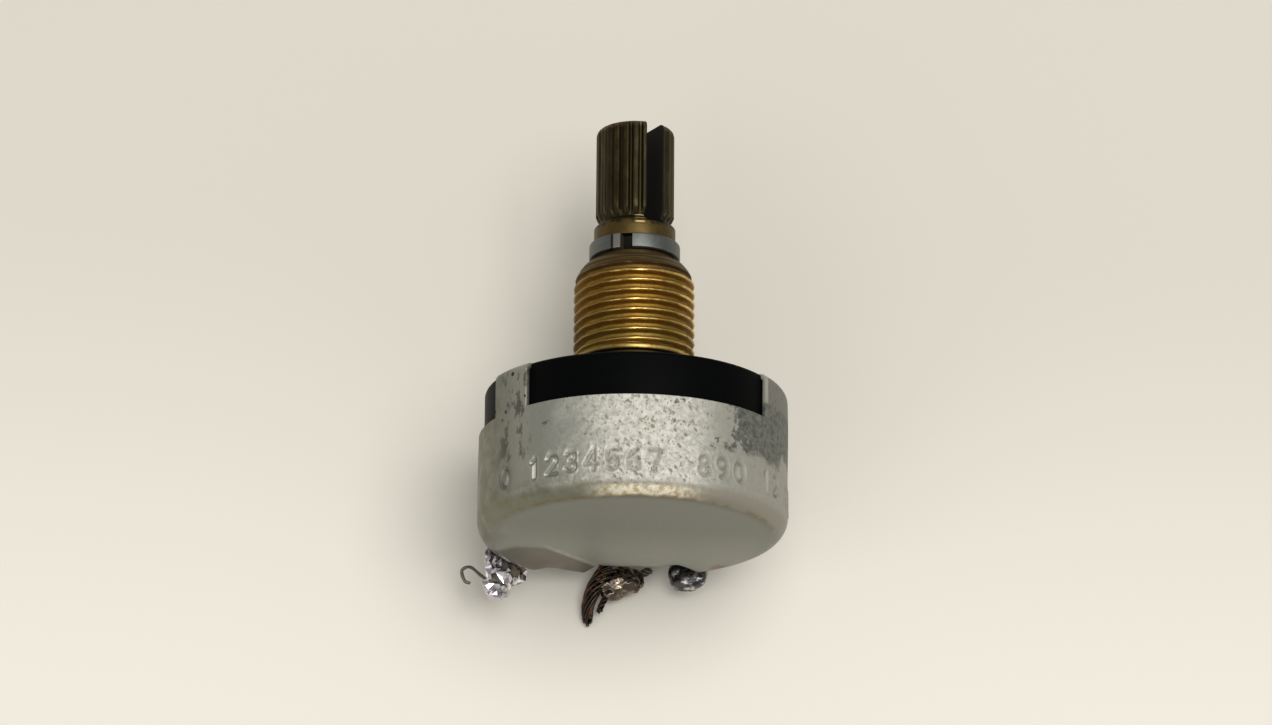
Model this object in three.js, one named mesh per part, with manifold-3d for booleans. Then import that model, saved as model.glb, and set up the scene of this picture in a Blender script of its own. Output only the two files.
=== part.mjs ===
// Rotary potentiometer: splined and slotted shaft, threaded panel bushing, moulded base,
// drawn steel case with four folded tabs, and three solder lugs bent back along the case.
//
// Everything is drawn in the control's own axes, in millimetres. +Z runs along the shaft to its
// tip, z = 0 is the face that seats against a panel, and +Y points away from the lugs.
// A bearing is an angle about the shaft: 0 at +Y, growing towards -X.
// The last group turns the control so that its shaft points to -Y and +Z is up.
import * as THREE from 'three';
import { mergeVertices } from 'three/addons/utils/BufferGeometryUtils.js';
import Module from 'manifold-3d';

// Panel bushing, 3/8-32 UNEF
const INCH = 25.4;
const THREAD_PITCH = INCH / 32;
const THREAD_CREST_R = 4.7;
const THREAD_ROOT_R = 4.28;
const BUSHING_TOP = (3 / 8) * INCH;
const BUSHING_TIP_R = 3.85;
const BUSHING_NOSE = 2.0;
const BORE_R = 3.225;
const FLANGE_R = 6.0;
const FLANGE_THICKNESS = 1.05;
const BUSHING_BODY_R = 4.9;
const STAKE_R = 5.4;
const STAKE_THICKNESS = 0.3;
const SEAT_INNER_R = THREAD_CREST_R + 0.06;
const SEAT_GROOVE = 0.15;

// Case and base
const CASE_R = 11.9;
const SHEET = 0.4;
const CASE_CORNER_R = 1.6;
const BASE_FRONT = -FLANGE_THICKNESS;
const CASE_RIM = BASE_FRONT - 3.58;
const CASE_BACK = BASE_FRONT - 11.33;
const BASE_R = 11.46;
const BASE_REAR = BASE_FRONT - 3.43;
const SKIRT_INNER_R = 10.9;
// Tabs, from one bearing to another
const TABS = [[51.5, 85], [111.5, 128.5], [-128.5, -111.5], [-68.4, -50]];
const TAB_CLEARANCE_DEG = 0.5;
const TAB_REACH_R = 9.9;
const FIT = 0.04;

// Resistance element
const WAFER_INNER_R = 7.0;
const WAFER_R = 10.85;
const WAFER_THICKNESS = 1.0;
const TRACK_INNER_R = 8.3;
const TRACK_R = 9.6;
const TRACK_THICKNESS = 0.06;
const TRACK_HALF_SPAN = 155;
const COLLECTOR_INNER_R = 7.1;
const COLLECTOR_R = 8.0;
const COLLECTOR_THICKNESS = 0.12;

// Lugs: bearing, how far the tip stands past the back of the case, and how far it is bent
// towards higher bearings
const TERMINALS = [
  { number: 1, bearing: 146, past: -0.5, lean: 1.5 },
  { number: 2, bearing: 180, past: 0.1, lean: 0 },
  { number: 3, bearing: -146, past: 0.9, lean: 2.7 },
];
const LUG_THICKNESS = 0.5;
const LUG_WIDTH = 2.4;
const LUG_INNER_R = 9.75;
const LUG_OUTER_R = 12.6;
const LUG_BEND_R = 0.6;
const LUG_EYE_R = 0.5;
const LUG_EYE_FROM_TIP = 1.6;
const RIVET_AT_R = 10.3;
const RIVET_R = 0.42;
const RIVET_HEAD_R = 0.8;
const RIVET_HEAD = 0.3;

// Beads of solder: size, and how far each is set sideways and outwards from the end of its lug
const SOLDER = [
  { number: 1, width: 3.2, thickness: 1.8, length: 1.25, sideways: 0, outwards: 0.3 },
  { number: 2, width: 3.9, thickness: 1.9, length: 1.2, sideways: -0.1, outwards: 0.1 },
  { number: 3, width: 2.6, thickness: 1.8, length: 1.75, sideways: -0.5, outwards: 0.6 },
];

// Clipped wire ends. Each path starts inside a bead, which it is cut back from, and is given
// from the end of its lug: sideways, outwards and up.
const WIRE_ENDS = [
  {
    name: 'wire_end_hook',
    number: 3,
    radius: 0.13,
    steps: 12,
    path: [
      [0.2, 0.9, -0.5], [0.75, 1.7, 0.3], [1.1, 2.6, 1.1],
      [1.4, 3.25, 0.9], [1.2, 3.15, 0.1], [0.85, 2.9, -0.1],
    ],
  },
  {
    name: 'wire_end_long',
    number: 2,
    radius: 0.42,
    steps: 8,
    path: [[0.6, 0.2, -0.5], [1.35, 0.45, -0.8], [1.75, 0.65, -1.3], [1.9, 0.9, -2.1], [1.85, 1.0, -3.35]],
  },
  {
    name: 'wire_end_short',
    number: 2,
    radius: 0.26,
    steps: 5,
    path: [[0.4, 0.15, -0.8], [0.85, 0.25, -1.6], [1.1, 0.3, -2.35]],
  },
  {
    name: 'wire_end_stub',
    number: 2,
    radius: 0.3,
    steps: 5,
    path: [[-1.3, 0.5, -0.35], [-1.8, 0.6, 0.6], [-2.5, 0.5, 1.15], [-3.15, 0.4, 1.35]],
  },
];

// Shaft and rotor
const REST_BEARING = 24;
const SHAFT_R = 3.175;
const SHAFT_TIP = 20.8;
const SPLINE_START = 13.05;
const SPLINE_TIP_R = 3.05;
const SPLINE_ROOT_R = 2.77;
const SPLINE_COUNT = 24;
const SPLINE_CHAMFER = 0.55;
const COLLAR_TOP = 12.6;
const NECK_R = 2.7;
const SLOT_WIDTH = 1.45;
const SLOT_FLOOR = 12.5;
const RING_SEAT_R = 2.58;
const RING_R = 3.55;
const RING_BOTTOM = 10.08;
const RING_THICKNESS = 1.2;
const RING_GAP_BEARING = -41.5;
const RING_GAP = 0.85;
const STOP_HALF_WIDTH = 13;
const STOP_HEIGHT = 2.3;
const ARM_HALF_WIDTH = 16;
const STOP_INNER_R = 5.6;
const STOP_R = 6.9;
const HUB_R = 5.0;
const HUB_FRONT = BASE_REAR - 0.35;
const HUB_STEP = HUB_FRONT - 0.6;
const THRUST_INNER_R = 3.35;
const THRUST_R = 4.9;
const DRIVE_R = 2.2;
const DRIVE_FLATS = 3.5;
const DISC_R = 9.8;
const DISC_FRONT = BASE_REAR - 2.7;
const DISC_REAR = DISC_FRONT - 1.1;
const HEAD_R = 2.9;
const HEAD_THICKNESS = 0.6;
const WIPER_SHEET = 0.2;
const WIPER_FINGER_WIDTH = 0.7;
const WIPER_FINGER_REACH = 4.2;
const WIPER_SPAN = [-80, -22];
const WIPER_RIVETS = [
  { name: 'wiper_rivet_a', bearing: -38 },
  { name: 'wiper_rivet_b', bearing: -66 },
];
const WIPER_RIVET_AT_R = 8.0;
const WIPER_RIVET_R = 0.45;

const WAFER_FRONT = BASE_REAR - 0.02;
const WAFER_REAR = WAFER_FRONT - WAFER_THICKNESS;
const TRACK_FACE = WAFER_REAR - TRACK_THICKNESS;
const COLLECTOR_FACE = WAFER_REAR - COLLECTOR_THICKNESS;
const LUG_FRONT = COLLECTOR_FACE - 0.02;
const LUG_REAR = LUG_FRONT - LUG_THICKNESS;
const LUG_LEAN_START = LUG_REAR - 0.65;
const CASE_INNER_R = CASE_R - SHEET;

const library = await Module();
library.setup();

const radians = THREE.MathUtils.degToRad;

// A three.js geometry as a solid whose faces point out.
function solid(geometry) {
  const bare = geometry.clone();
  bare.deleteAttribute('normal');
  bare.deleteAttribute('uv');
  const merged = mergeVertices(bare, 1e-5);
  const position = merged.getAttribute('position');
  const corner = [new THREE.Vector3(), new THREE.Vector3(), new THREE.Vector3()];
  const triangles = [];
  let volume = 0;
  for (let i = 0; i < merged.index.count; i += 3) {
    const triangle = [0, 1, 2].map((k) => merged.index.getX(i + k));
    if (new Set(triangle).size < 3) continue;
    triangle.forEach((vertex, k) => corner[k].fromBufferAttribute(position, vertex));
    volume += corner[0].dot(corner[1].clone().cross(corner[2]));
    triangles.push(triangle);
  }
  if (volume < 0) triangles.forEach((triangle) => triangle.reverse());
  return new library.Manifold(new library.Mesh({
    numProp: 3,
    vertProperties: new Float32Array(position.array),
    triVerts: new Uint32Array(triangles.flat()),
  }));
}

function geometryOf(body) {
  const mesh = body.getMesh();
  const geometry = new THREE.BufferGeometry();
  geometry.setAttribute('position', new THREE.BufferAttribute(mesh.vertProperties, 3));
  geometry.setIndex(new THREE.BufferAttribute(mesh.triVerts, 1));
  geometry.computeVertexNormals();
  return geometry;
}

// A lathe's own axis is Y, so the turned shape is laid onto Z.
function turned(profile, segments = 48) {
  const points = profile.map(([radius, height]) => new THREE.Vector2(radius, height));
  return new THREE.LatheGeometry(points, segments).rotateX(Math.PI / 2);
}

// A hollow turned piece: its profile closes on itself.
function turnedRing(profile, segments) {
  return turned([...profile, profile[0]], segments);
}

function washer(innerR, outerR, low, high, segments) {
  return turnedRing([[innerR, low], [outerR, low], [outerR, high], [innerR, high]], segments);
}

function plug(radius, low, high, segments = 24) {
  return turned([[0, low], [radius, low], [radius, high], [0, high]], segments);
}

function box(width, depth, height, x, y, z) {
  return new THREE.BoxGeometry(width, depth, height).translate(x, y, z);
}

function shapeOf(outline) {
  return new THREE.Shape(outline.map(([x, y]) => new THREE.Vector2(x, y)));
}

function directionOf(bearing) {
  return new THREE.Vector3(-Math.sin(radians(bearing)), Math.cos(radians(bearing)), 0);
}

// A point beside the shaft: out along a bearing, sideways towards higher bearings, and up.
function beside(bearing, out, sideways, height) {
  return directionOf(bearing).multiplyScalar(out)
    .addScaledVector(directionOf(bearing + 90), sideways)
    .setZ(height);
}

// Part of a turned shape, between two bearings.
function sector(outline, from, to, stepDegrees = 6) {
  const steps = Math.max(1, Math.round((to - from) / stepDegrees));
  const geometry = new THREE.ExtrudeGeometry(shapeOf(outline), { depth: 1, steps, bevelEnabled: false });
  const position = geometry.getAttribute('position');
  for (let i = 0; i < position.count; i += 1) {
    const radius = position.getX(i);
    const height = position.getY(i);
    const out = directionOf(from + (to - from) * position.getZ(i)).multiplyScalar(radius);
    position.setXYZ(i, out.x, out.y, height);
  }
  return geometry;
}

function sectorBlock(innerR, outerR, low, high, from, to, stepDegrees) {
  const outline = [[innerR, low], [outerR, low], [outerR, high], [innerR, high]];
  return sector(outline, from, to, stepDegrees);
}

// A flat outline in the plane of one bearing, given as radius and height, made width thick.
function plateAt(outline, width, bearing) {
  const geometry = new THREE.ExtrudeGeometry(shapeOf(outline), { depth: width, bevelEnabled: false });
  geometry.translate(0, 0, -width / 2);
  const out = directionOf(bearing);
  const up = new THREE.Vector3(0, 0, 1);
  return geometry.applyMatrix4(new THREE.Matrix4().makeBasis(out, up, out.clone().cross(up)));
}

function metal(color, roughness) {
  return new THREE.MeshStandardMaterial({ color, roughness, metalness: 1 });
}

function moulding(color, roughness) {
  return new THREE.MeshStandardMaterial({ color, roughness, metalness: 0 });
}

const FINISH = {
  zinc: metal(0xa9aaa4, 0.5),
  brass: metal(0x9a7838, 0.45),
  darkBrass: metal(0x3a2f20, 0.5),
  steel: metal(0x9fa3a6, 0.35),
  tinned: metal(0x8f8f8c, 0.4),
  solder: metal(0x77777a, 0.3),
  copper: metal(0x6b4a35, 0.4),
  silver: metal(0xc9c9c4, 0.35),
  bronze: metal(0xa8834a, 0.4),
  blackPhenolic: moulding(0x101012, 0.35),
  brownPhenolic: moulding(0x5b3a1e, 0.6),
  carbon: moulding(0x1c1c1e, 0.7),
};

function piece(name, body, material) {
  const mesh = new THREE.Mesh(geometryOf(body), material);
  mesh.name = name;
  return mesh;
}

// The radius that the bushing's rounded nose allows at a height.
function noseRadius(height) {
  const rise = Math.max(0, height - (BUSHING_TOP - BUSHING_NOSE)) / BUSHING_NOSE;
  return THREE.MathUtils.lerp(THREAD_CREST_R, BUSHING_TIP_R, rise ** 2.2);
}

// The bushing is one turned piece, and its thread rows climb one pitch for each turn.
function makeBushing() {
  const segments = 24;
  const threadBottom = 0.25;
  const foot = [
    [BORE_R, BASE_REAR],
    [STAKE_R, BASE_REAR],
    [STAKE_R, BASE_REAR + STAKE_THICKNESS],
    [BUSHING_BODY_R, BASE_REAR + STAKE_THICKNESS],
    [BUSHING_BODY_R, BASE_FRONT],
    [FLANGE_R, BASE_FRONT],
    [FLANGE_R, 0],
    [SEAT_INNER_R, 0],
    [SEAT_INNER_R, -SEAT_GROOVE],
    [THREAD_ROOT_R, -SEAT_GROOVE],
  ];
  // Each thread row has a radius and its height above the first row, in turns.
  const rowsOfTurn = [[0.05, THREAD_CREST_R], [0.19, THREAD_CREST_R], [0.62, THREAD_ROOT_R]];
  const turns = Math.ceil((BUSHING_TOP - threadBottom) / THREAD_PITCH);
  const thread = [];
  for (let turn = -2; turn <= turns; turn += 1) {
    for (const [share, radius] of rowsOfTurn) thread.push({ turn, share, radius });
  }
  const mouth = [[BORE_R + 0.25, BUSHING_TOP], [BORE_R, BUSHING_TOP - 0.25]];
  const threadPoints = thread.map(() => [THREAD_ROOT_R, threadBottom]);
  const profile = [...foot, ...threadPoints, ...mouth, foot[0]];
  const points = profile.map(([radius, height]) => new THREE.Vector2(radius, height));
  const geometry = new THREE.LatheGeometry(points, segments);
  const position = geometry.getAttribute('position');
  for (let column = 0; column <= segments; column += 1) {
    const angle = (column / segments) * 2 * Math.PI;
    thread.forEach(({ turn, share, radius }, row) => {
      const climbed = threadBottom + (turn + column / segments + share) * THREAD_PITCH;
      const height = THREE.MathUtils.clamp(climbed, threadBottom, BUSHING_TOP);
      const cut = climbed <= threadBottom ? THREAD_ROOT_R : radius;
      const reach = Math.min(cut, noseRadius(height));
      const vertex = column * profile.length + foot.length + row;
      position.setXYZ(vertex, reach * Math.sin(angle), height, reach * Math.cos(angle));
    });
  }
  return solid(geometry.rotateX(Math.PI / 2));
}

// The moulded base, recessed in front for the four tabs, with the stop for the rotor behind.
function makeBase() {
  let base = solid(turnedRing([
    [BUSHING_BODY_R + FIT, BASE_FRONT],
    [BASE_R, BASE_FRONT],
    [BASE_R, WAFER_REAR],
    [SKIRT_INNER_R, WAFER_REAR],
    [SKIRT_INNER_R, BASE_REAR],
    [STAKE_R + FIT, BASE_REAR],
    [STAKE_R + FIT, BASE_REAR + STAKE_THICKNESS + FIT],
    [BUSHING_BODY_R + FIT, BASE_REAR + STAKE_THICKNESS + FIT],
  ], 48));
  const recessFloor = BASE_FRONT - SHEET - 0.03;
  for (const [from, to] of TABS) {
    const recess = sectorBlock(TAB_REACH_R - 0.1, BASE_R + 1, recessFloor, BASE_FRONT + 1,
      from - TAB_CLEARANCE_DEG, to + TAB_CLEARANCE_DEG);
    base = base.subtract(solid(recess));
  }
  const stop = sectorBlock(STOP_INNER_R, STOP_R, BASE_REAR - STOP_HEIGHT, BASE_REAR + 0.2,
    180 - STOP_HALF_WIDTH, 180 + STOP_HALF_WIDTH);
  return base.add(solid(stop));
}

// The drawn cup, its four tabs folded over the base, and a slot in its rim for each lug.
function makeCase() {
  const corner = [];
  const innerCorner = [];
  const innerCornerR = CASE_CORNER_R - SHEET;
  const cornerSteps = 4;
  for (let i = 0; i <= cornerSteps; i += 1) {
    const angle = (i / cornerSteps) * (Math.PI / 2);
    const inset = CASE_R - CASE_CORNER_R;
    const centre = CASE_BACK + CASE_CORNER_R;
    corner.push([inset + CASE_CORNER_R * Math.sin(angle), centre - CASE_CORNER_R * Math.cos(angle)]);
    innerCorner.push([inset + innerCornerR * Math.sin(angle), centre - innerCornerR * Math.cos(angle)]);
  }
  let cup = solid(turned([
    [0, CASE_BACK],
    ...corner,
    [CASE_R, CASE_RIM],
    [CASE_INNER_R, CASE_RIM],
    ...innerCorner.reverse(),
    [0, CASE_BACK + SHEET],
  ], 48));
  const tabTop = BASE_FRONT - 0.01;
  const tabOutline = [
    [CASE_INNER_R, CASE_RIM - 0.2],
    [CASE_R, CASE_RIM - 0.2],
    [CASE_R, tabTop - SHEET],
    [CASE_R - SHEET * 0.3, tabTop - SHEET * 0.3],
    [CASE_R - SHEET, tabTop],
    [TAB_REACH_R, tabTop],
    [TAB_REACH_R, tabTop - SHEET],
    [CASE_INNER_R, tabTop - SHEET],
  ];
  const columnDegrees = 5;
  for (const [from, to] of TABS) {
    cup = cup.add(solid(sector(tabOutline, from, to, columnDegrees)));
  }
  const slotHeight = CASE_RIM - LUG_REAR + 0.3;
  for (const { bearing } of TERMINALS) {
    const slot = plateAt([
      [CASE_INNER_R - 1, CASE_RIM - slotHeight],
      [CASE_R + 1, CASE_RIM - slotHeight],
      [CASE_R + 1, CASE_RIM + 1],
      [CASE_INNER_R - 1, CASE_RIM + 1],
    ], LUG_WIDTH + 0.4, bearing);
    cup = cup.subtract(solid(slot));
  }
  return cup;
}

function rivetHole(bearing) {
  const at = directionOf(bearing).multiplyScalar(RIVET_AT_R);
  return solid(plug(RIVET_R + FIT, LUG_REAR - 2, BASE_REAR + 1, 12).translate(at.x, at.y, 0));
}

function makeWafer() {
  let wafer = solid(washer(WAFER_INNER_R, WAFER_R, WAFER_REAR, WAFER_FRONT, 48));
  for (const { bearing } of TERMINALS) wafer = wafer.subtract(rivetHole(bearing));
  return wafer;
}

// The carbon ring stops on both sides of lug 2 and has an ear under lugs 1 and 3.
function makeTrack() {
  let track = solid(sectorBlock(TRACK_INNER_R, TRACK_R, TRACK_FACE, WAFER_REAR,
    -TRACK_HALF_SPAN, TRACK_HALF_SPAN));
  for (const { bearing, number } of TERMINALS) {
    if (number === 2) continue;
    const ear = sectorBlock(TRACK_R - 0.2, WAFER_R - 0.05, TRACK_FACE, WAFER_REAR,
      bearing - 6, bearing + 6);
    track = track.add(solid(ear)).subtract(rivetHole(bearing));
  }
  return track;
}

function makeCollector() {
  const ring = solid(washer(COLLECTOR_INNER_R, COLLECTOR_R, COLLECTOR_FACE, WAFER_REAR, 48));
  const tail = box(1.4, WAFER_R - COLLECTOR_R, COLLECTOR_THICKNESS,
    0, -(WAFER_R + COLLECTOR_R - 0.2) / 2, (COLLECTOR_FACE + WAFER_REAR) / 2);
  return ring.add(solid(tail)).subtract(rivetHole(180));
}

// A lug runs out over the wafer, turns down behind the case rim and leans as it goes.
function makeTerminal({ bearing, past, lean }) {
  const tip = CASE_BACK - past;
  const innerBendR = LUG_BEND_R - LUG_THICKNESS;
  const innerR = LUG_OUTER_R - LUG_THICKNESS;
  const outline = [[LUG_INNER_R, LUG_FRONT]];
  for (const angle of [0, 30, 60, 90]) {
    outline.push([
      LUG_OUTER_R - LUG_BEND_R + LUG_BEND_R * Math.sin(radians(angle)),
      LUG_FRONT - LUG_BEND_R + LUG_BEND_R * Math.cos(radians(angle)),
    ]);
  }
  outline.push(
    [LUG_OUTER_R, LUG_LEAN_START],
    [LUG_OUTER_R, tip],
    [innerR, tip],
    [innerR, LUG_LEAN_START],
    [innerR, LUG_REAR - innerBendR],
    [innerR - innerBendR, LUG_REAR],
    [LUG_INNER_R, LUG_REAR],
  );
  const geometry = plateAt(outline, LUG_WIDTH, bearing);
  const position = geometry.getAttribute('position');
  const leanPerDepth = lean / (LUG_LEAN_START - tip);
  for (let i = 0; i < position.count; i += 1) {
    const below = Math.max(0, LUG_LEAN_START - position.getZ(i));
    const shift = beside(bearing, 0, leanPerDepth * below, 0);
    position.setXY(i, position.getX(i) + shift.x, position.getY(i) + shift.y);
  }
  const eyeHeight = tip + LUG_EYE_FROM_TIP;
  const eyeAt = beside(bearing, innerR, leanPerDepth * (LUG_LEAN_START - eyeHeight), eyeHeight);
  const eye = new THREE.CylinderGeometry(LUG_EYE_R, LUG_EYE_R, 4, 12)
    .rotateZ(radians(bearing))
    .translate(eyeAt.x, eyeAt.y, eyeAt.z);
  return solid(geometry).subtract(rivetHole(bearing)).subtract(solid(eye));
}

function makeTerminalRivet({ bearing }) {
  const at = directionOf(bearing).multiplyScalar(RIVET_AT_R);
  const rivet = turned([
    [0, WAFER_FRONT - 0.02],
    [RIVET_R, WAFER_FRONT - 0.02],
    [RIVET_R, LUG_REAR - 0.01],
    [RIVET_HEAD_R, LUG_REAR - 0.01],
    [RIVET_HEAD_R * 0.7, LUG_REAR - RIVET_HEAD],
    [0, LUG_REAR - RIVET_HEAD],
  ], 12);
  return solid(rivet.translate(at.x, at.y, 0));
}

// The end of a lug, where its solder begins.
function lugEnd({ bearing, past, lean }) {
  return beside(bearing, LUG_OUTER_R - LUG_THICKNESS / 2, lean, CASE_BACK - past - 0.02);
}

// A bead of solder hanging from the end of a lug, given as its size and how far it is set
// sideways and outwards.
function makeSolder(terminal, { width, thickness, length, sideways, outwards }) {
  const end = lugEnd(terminal);
  const middle = beside(terminal.bearing, outwards, sideways, 0).add(end);
  const bead = new THREE.SphereGeometry(1, 12, 8)
    .scale(width / 2, thickness / 2, length)
    .rotateZ(radians(terminal.bearing))
    .translate(middle.x, middle.y, end.z + length * 0.15);
  const above = box(20, 20, 10, end.x, end.y, end.z + 5);
  return solid(bead).subtract(solid(above));
}

function terminalNumber(number) {
  return TERMINALS.find((terminal) => terminal.number === number);
}

function makeWire({ number, path, radius, steps }, bead) {
  const terminal = terminalNumber(number);
  const end = lugEnd(terminal);
  const points = path.map(([sideways, outwards, up]) => (
    beside(terminal.bearing, outwards, sideways, up).add(end)));
  const section = new THREE.Shape().absarc(0, 0, radius, 0, 2 * Math.PI, false);
  const extrudePath = new THREE.CatmullRomCurve3(points);
  const wire = new THREE.ExtrudeGeometry(section, { extrudePath, steps, curveSegments: 3 });
  return solid(wire).subtract(bead);
}

// Chamfered envelope of the splined end, which trims the teeth at both ends.
function splineEnvelope() {
  return turned([
    [0, SPLINE_START - 0.3],
    [NECK_R - 0.02, SPLINE_START - 0.3],
    [SPLINE_TIP_R + 0.05, SPLINE_START + 0.35],
    [SPLINE_TIP_R + 0.05, SHAFT_TIP - SPLINE_CHAMFER],
    [SPLINE_TIP_R - 0.15, SHAFT_TIP - SPLINE_CHAMFER * 0.4],
    [SPLINE_TIP_R - SPLINE_CHAMFER, SHAFT_TIP],
    [0, SHAFT_TIP],
  ], 48);
}

function splineTeeth() {
  const outline = [];
  const pitch = 360 / SPLINE_COUNT;
  for (let tooth = 0; tooth < SPLINE_COUNT; tooth += 1) {
    const corners = [
      [0.06, SPLINE_ROOT_R], [0.3, SPLINE_TIP_R],
      [0.7, SPLINE_TIP_R], [0.94, SPLINE_ROOT_R],
    ];
    for (const [share, radius] of corners) {
      const angle = radians((tooth + share) * pitch);
      outline.push([radius * Math.cos(angle), radius * Math.sin(angle)]);
    }
  }
  const length = SHAFT_TIP - SPLINE_START + 1;
  const teeth = new THREE.ExtrudeGeometry(shapeOf(outline), { depth: length, bevelEnabled: false });
  return teeth.translate(0, 0, SPLINE_START - 0.5);
}

function driveFlats(clearance) {
  return box(DRIVE_FLATS + clearance, 20, 20, 0, 0, HUB_STEP - 10);
}

function makeShaft() {
  const journal = solid(turned([
    [0, HUB_STEP],
    [SHAFT_R, HUB_STEP],
    [SHAFT_R, RING_BOTTOM - 0.03],
    [RING_SEAT_R - 0.03, RING_BOTTOM - 0.03],
    [RING_SEAT_R - 0.03, RING_BOTTOM + RING_THICKNESS + 0.03],
    [SHAFT_R, RING_BOTTOM + RING_THICKNESS + 0.03],
    [SHAFT_R, COLLAR_TOP],
    [NECK_R - 0.05, SPLINE_START],
    [0, SPLINE_START],
  ], 36));
  const drive = solid(plug(DRIVE_R, DISC_REAR - 0.1, HUB_STEP + 0.2)).intersect(solid(
    box(DRIVE_FLATS, 20, 20, 0, 0, HUB_STEP - 5)));
  const headFront = DISC_REAR - 0.02;
  const head = solid(turned([
    [0, headFront],
    [HEAD_R, headFront],
    [HEAD_R * 0.8, headFront - HEAD_THICKNESS],
    [0, headFront - HEAD_THICKNESS],
  ], 24));
  const splined = solid(splineTeeth()).intersect(solid(splineEnvelope()));
  const slotHeight = SHAFT_TIP - SLOT_FLOOR + 1;
  const slot = box(SLOT_WIDTH, 20, slotHeight, 0, 0, SLOT_FLOOR + slotHeight / 2);
  return journal.add(drive).add(head).add(splined).subtract(solid(slot));
}

function makeRetainingRing() {
  const top = RING_BOTTOM + RING_THICKNESS;
  const ring = solid(washer(RING_SEAT_R, RING_R, RING_BOTTOM, top, 36));
  const gap = plateAt([
    [0, RING_BOTTOM - 1],
    [RING_R + 1, RING_BOTTOM - 1],
    [RING_R + 1, top + 1],
    [0, top + 1],
  ], RING_GAP, RING_GAP_BEARING);
  return ring.subtract(solid(gap));
}

function makeThrustWasher() {
  return solid(washer(THRUST_INNER_R, THRUST_R, HUB_FRONT + 0.03, BASE_REAR - 0.02, 36));
}

// The rotor is keyed to the shaft by two flats and carries the arm that meets the stop.
function makeRotor() {
  const blank = solid(turned([
    [0, DISC_REAR],
    [DISC_R, DISC_REAR],
    [DISC_R, DISC_FRONT],
    [HUB_R, DISC_FRONT],
    [HUB_R, HUB_FRONT],
    [0, HUB_FRONT],
  ], 48));
  const arm = solid(sectorBlock(HUB_R - 0.3, STOP_R - 0.1, DISC_FRONT - 0.2, HUB_FRONT - 0.1,
    -ARM_HALF_WIDTH, ARM_HALF_WIDTH));
  const journalHole = solid(plug(BORE_R + 0.02, HUB_STEP - 0.03, HUB_FRONT + 1, 36));
  const driveHole = solid(plug(DRIVE_R + FIT, DISC_REAR - 1, HUB_FRONT)).intersect(solid(driveFlats(0.08)));
  let rotor = blank.add(arm).subtract(journalHole).subtract(driveHole);
  for (const hole of wiperRivetHoles()) rotor = rotor.subtract(hole);
  return rotor;
}

function wiperRivetHoles() {
  return WIPER_RIVETS.map(({ bearing }) => {
    const at = directionOf(bearing).multiplyScalar(WIPER_RIVET_AT_R);
    return solid(plug(WIPER_RIVET_R + FIT, DISC_REAR - 1, DISC_FRONT + 1, 12).translate(at.x, at.y, 0));
  });
}

// One finger: a cantilever whose free end rises to touch a ring of the element at bearing 0.
function wiperFinger(radius, contactFace) {
  const rest = DISC_FRONT + 0.01;
  const tip = contactFace - 0.05;
  const outline = [
    [WIPER_FINGER_REACH, rest],
    [WIPER_FINGER_REACH, rest + WIPER_SHEET],
    [WIPER_FINGER_REACH * 0.8, rest + WIPER_SHEET],
    [0.3, tip],
    [-0.3, tip],
    [-0.6, tip - WIPER_SHEET],
    [0.1, tip - WIPER_SHEET],
    [WIPER_FINGER_REACH * 0.72, rest],
  ];
  const width = WIPER_FINGER_WIDTH;
  const geometry = new THREE.ExtrudeGeometry(shapeOf(outline), { depth: width, bevelEnabled: false });
  return solid(geometry.rotateX(Math.PI / 2).translate(0, radius + width / 2, 0));
}

function makeWiper() {
  const rest = DISC_FRONT + 0.01;
  let wiper = solid(sectorBlock(HUB_R + 2.1, TRACK_R - 0.2, rest, rest + WIPER_SHEET, ...WIPER_SPAN));
  wiper = wiper.add(wiperFinger((COLLECTOR_INNER_R + COLLECTOR_R) / 2, COLLECTOR_FACE));
  wiper = wiper.add(wiperFinger((TRACK_INNER_R + TRACK_R) / 2, TRACK_FACE));
  for (const hole of wiperRivetHoles()) wiper = wiper.subtract(hole);
  return wiper;
}

function makeWiperRivet(bearing) {
  const at = directionOf(bearing).multiplyScalar(WIPER_RIVET_AT_R);
  const sheetFace = DISC_FRONT + WIPER_SHEET + 0.02;
  const rivet = turned([
    [0, DISC_REAR - 0.25],
    [WIPER_RIVET_R * 1.8, DISC_REAR - 0.25],
    [WIPER_RIVET_R * 1.8, DISC_REAR - 0.01],
    [WIPER_RIVET_R, DISC_REAR - 0.01],
    [WIPER_RIVET_R, sheetFace],
    [WIPER_RIVET_R * 1.6, sheetFace],
    [WIPER_RIVET_R * 1.1, sheetFace + 0.25],
    [0, sheetFace + 0.25],
  ], 12);
  return solid(rivet.translate(at.x, at.y, 0));
}

// Still parts
const housing = new THREE.Group();
housing.add(
  piece('bushing', makeBushing(), FINISH.brass),
  piece('base_plate', makeBase(), FINISH.blackPhenolic),
  piece('case_can', makeCase(), FINISH.zinc),
  piece('thrust_washer', makeThrustWasher(), FINISH.steel),
  piece('element_wafer', makeWafer(), FINISH.brownPhenolic),
  piece('carbon_track', makeTrack(), FINISH.carbon),
  piece('collector_ring', makeCollector(), FINISH.silver),
);
for (const terminal of TERMINALS) {
  housing.add(
    piece(`terminal_${terminal.number}`, makeTerminal(terminal), FINISH.tinned),
    piece(`terminal_rivet_${terminal.number}`, makeTerminalRivet(terminal), FINISH.tinned),
  );
}
const beads = new Map();
for (const bead of SOLDER) {
  beads.set(bead.number, makeSolder(terminalNumber(bead.number), bead));
  housing.add(piece(`solder_${bead.number}`, beads.get(bead.number), FINISH.solder));
}
for (const wire of WIRE_ENDS) {
  housing.add(piece(wire.name, makeWire(wire, beads.get(wire.number)), FINISH.copper));
}

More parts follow.
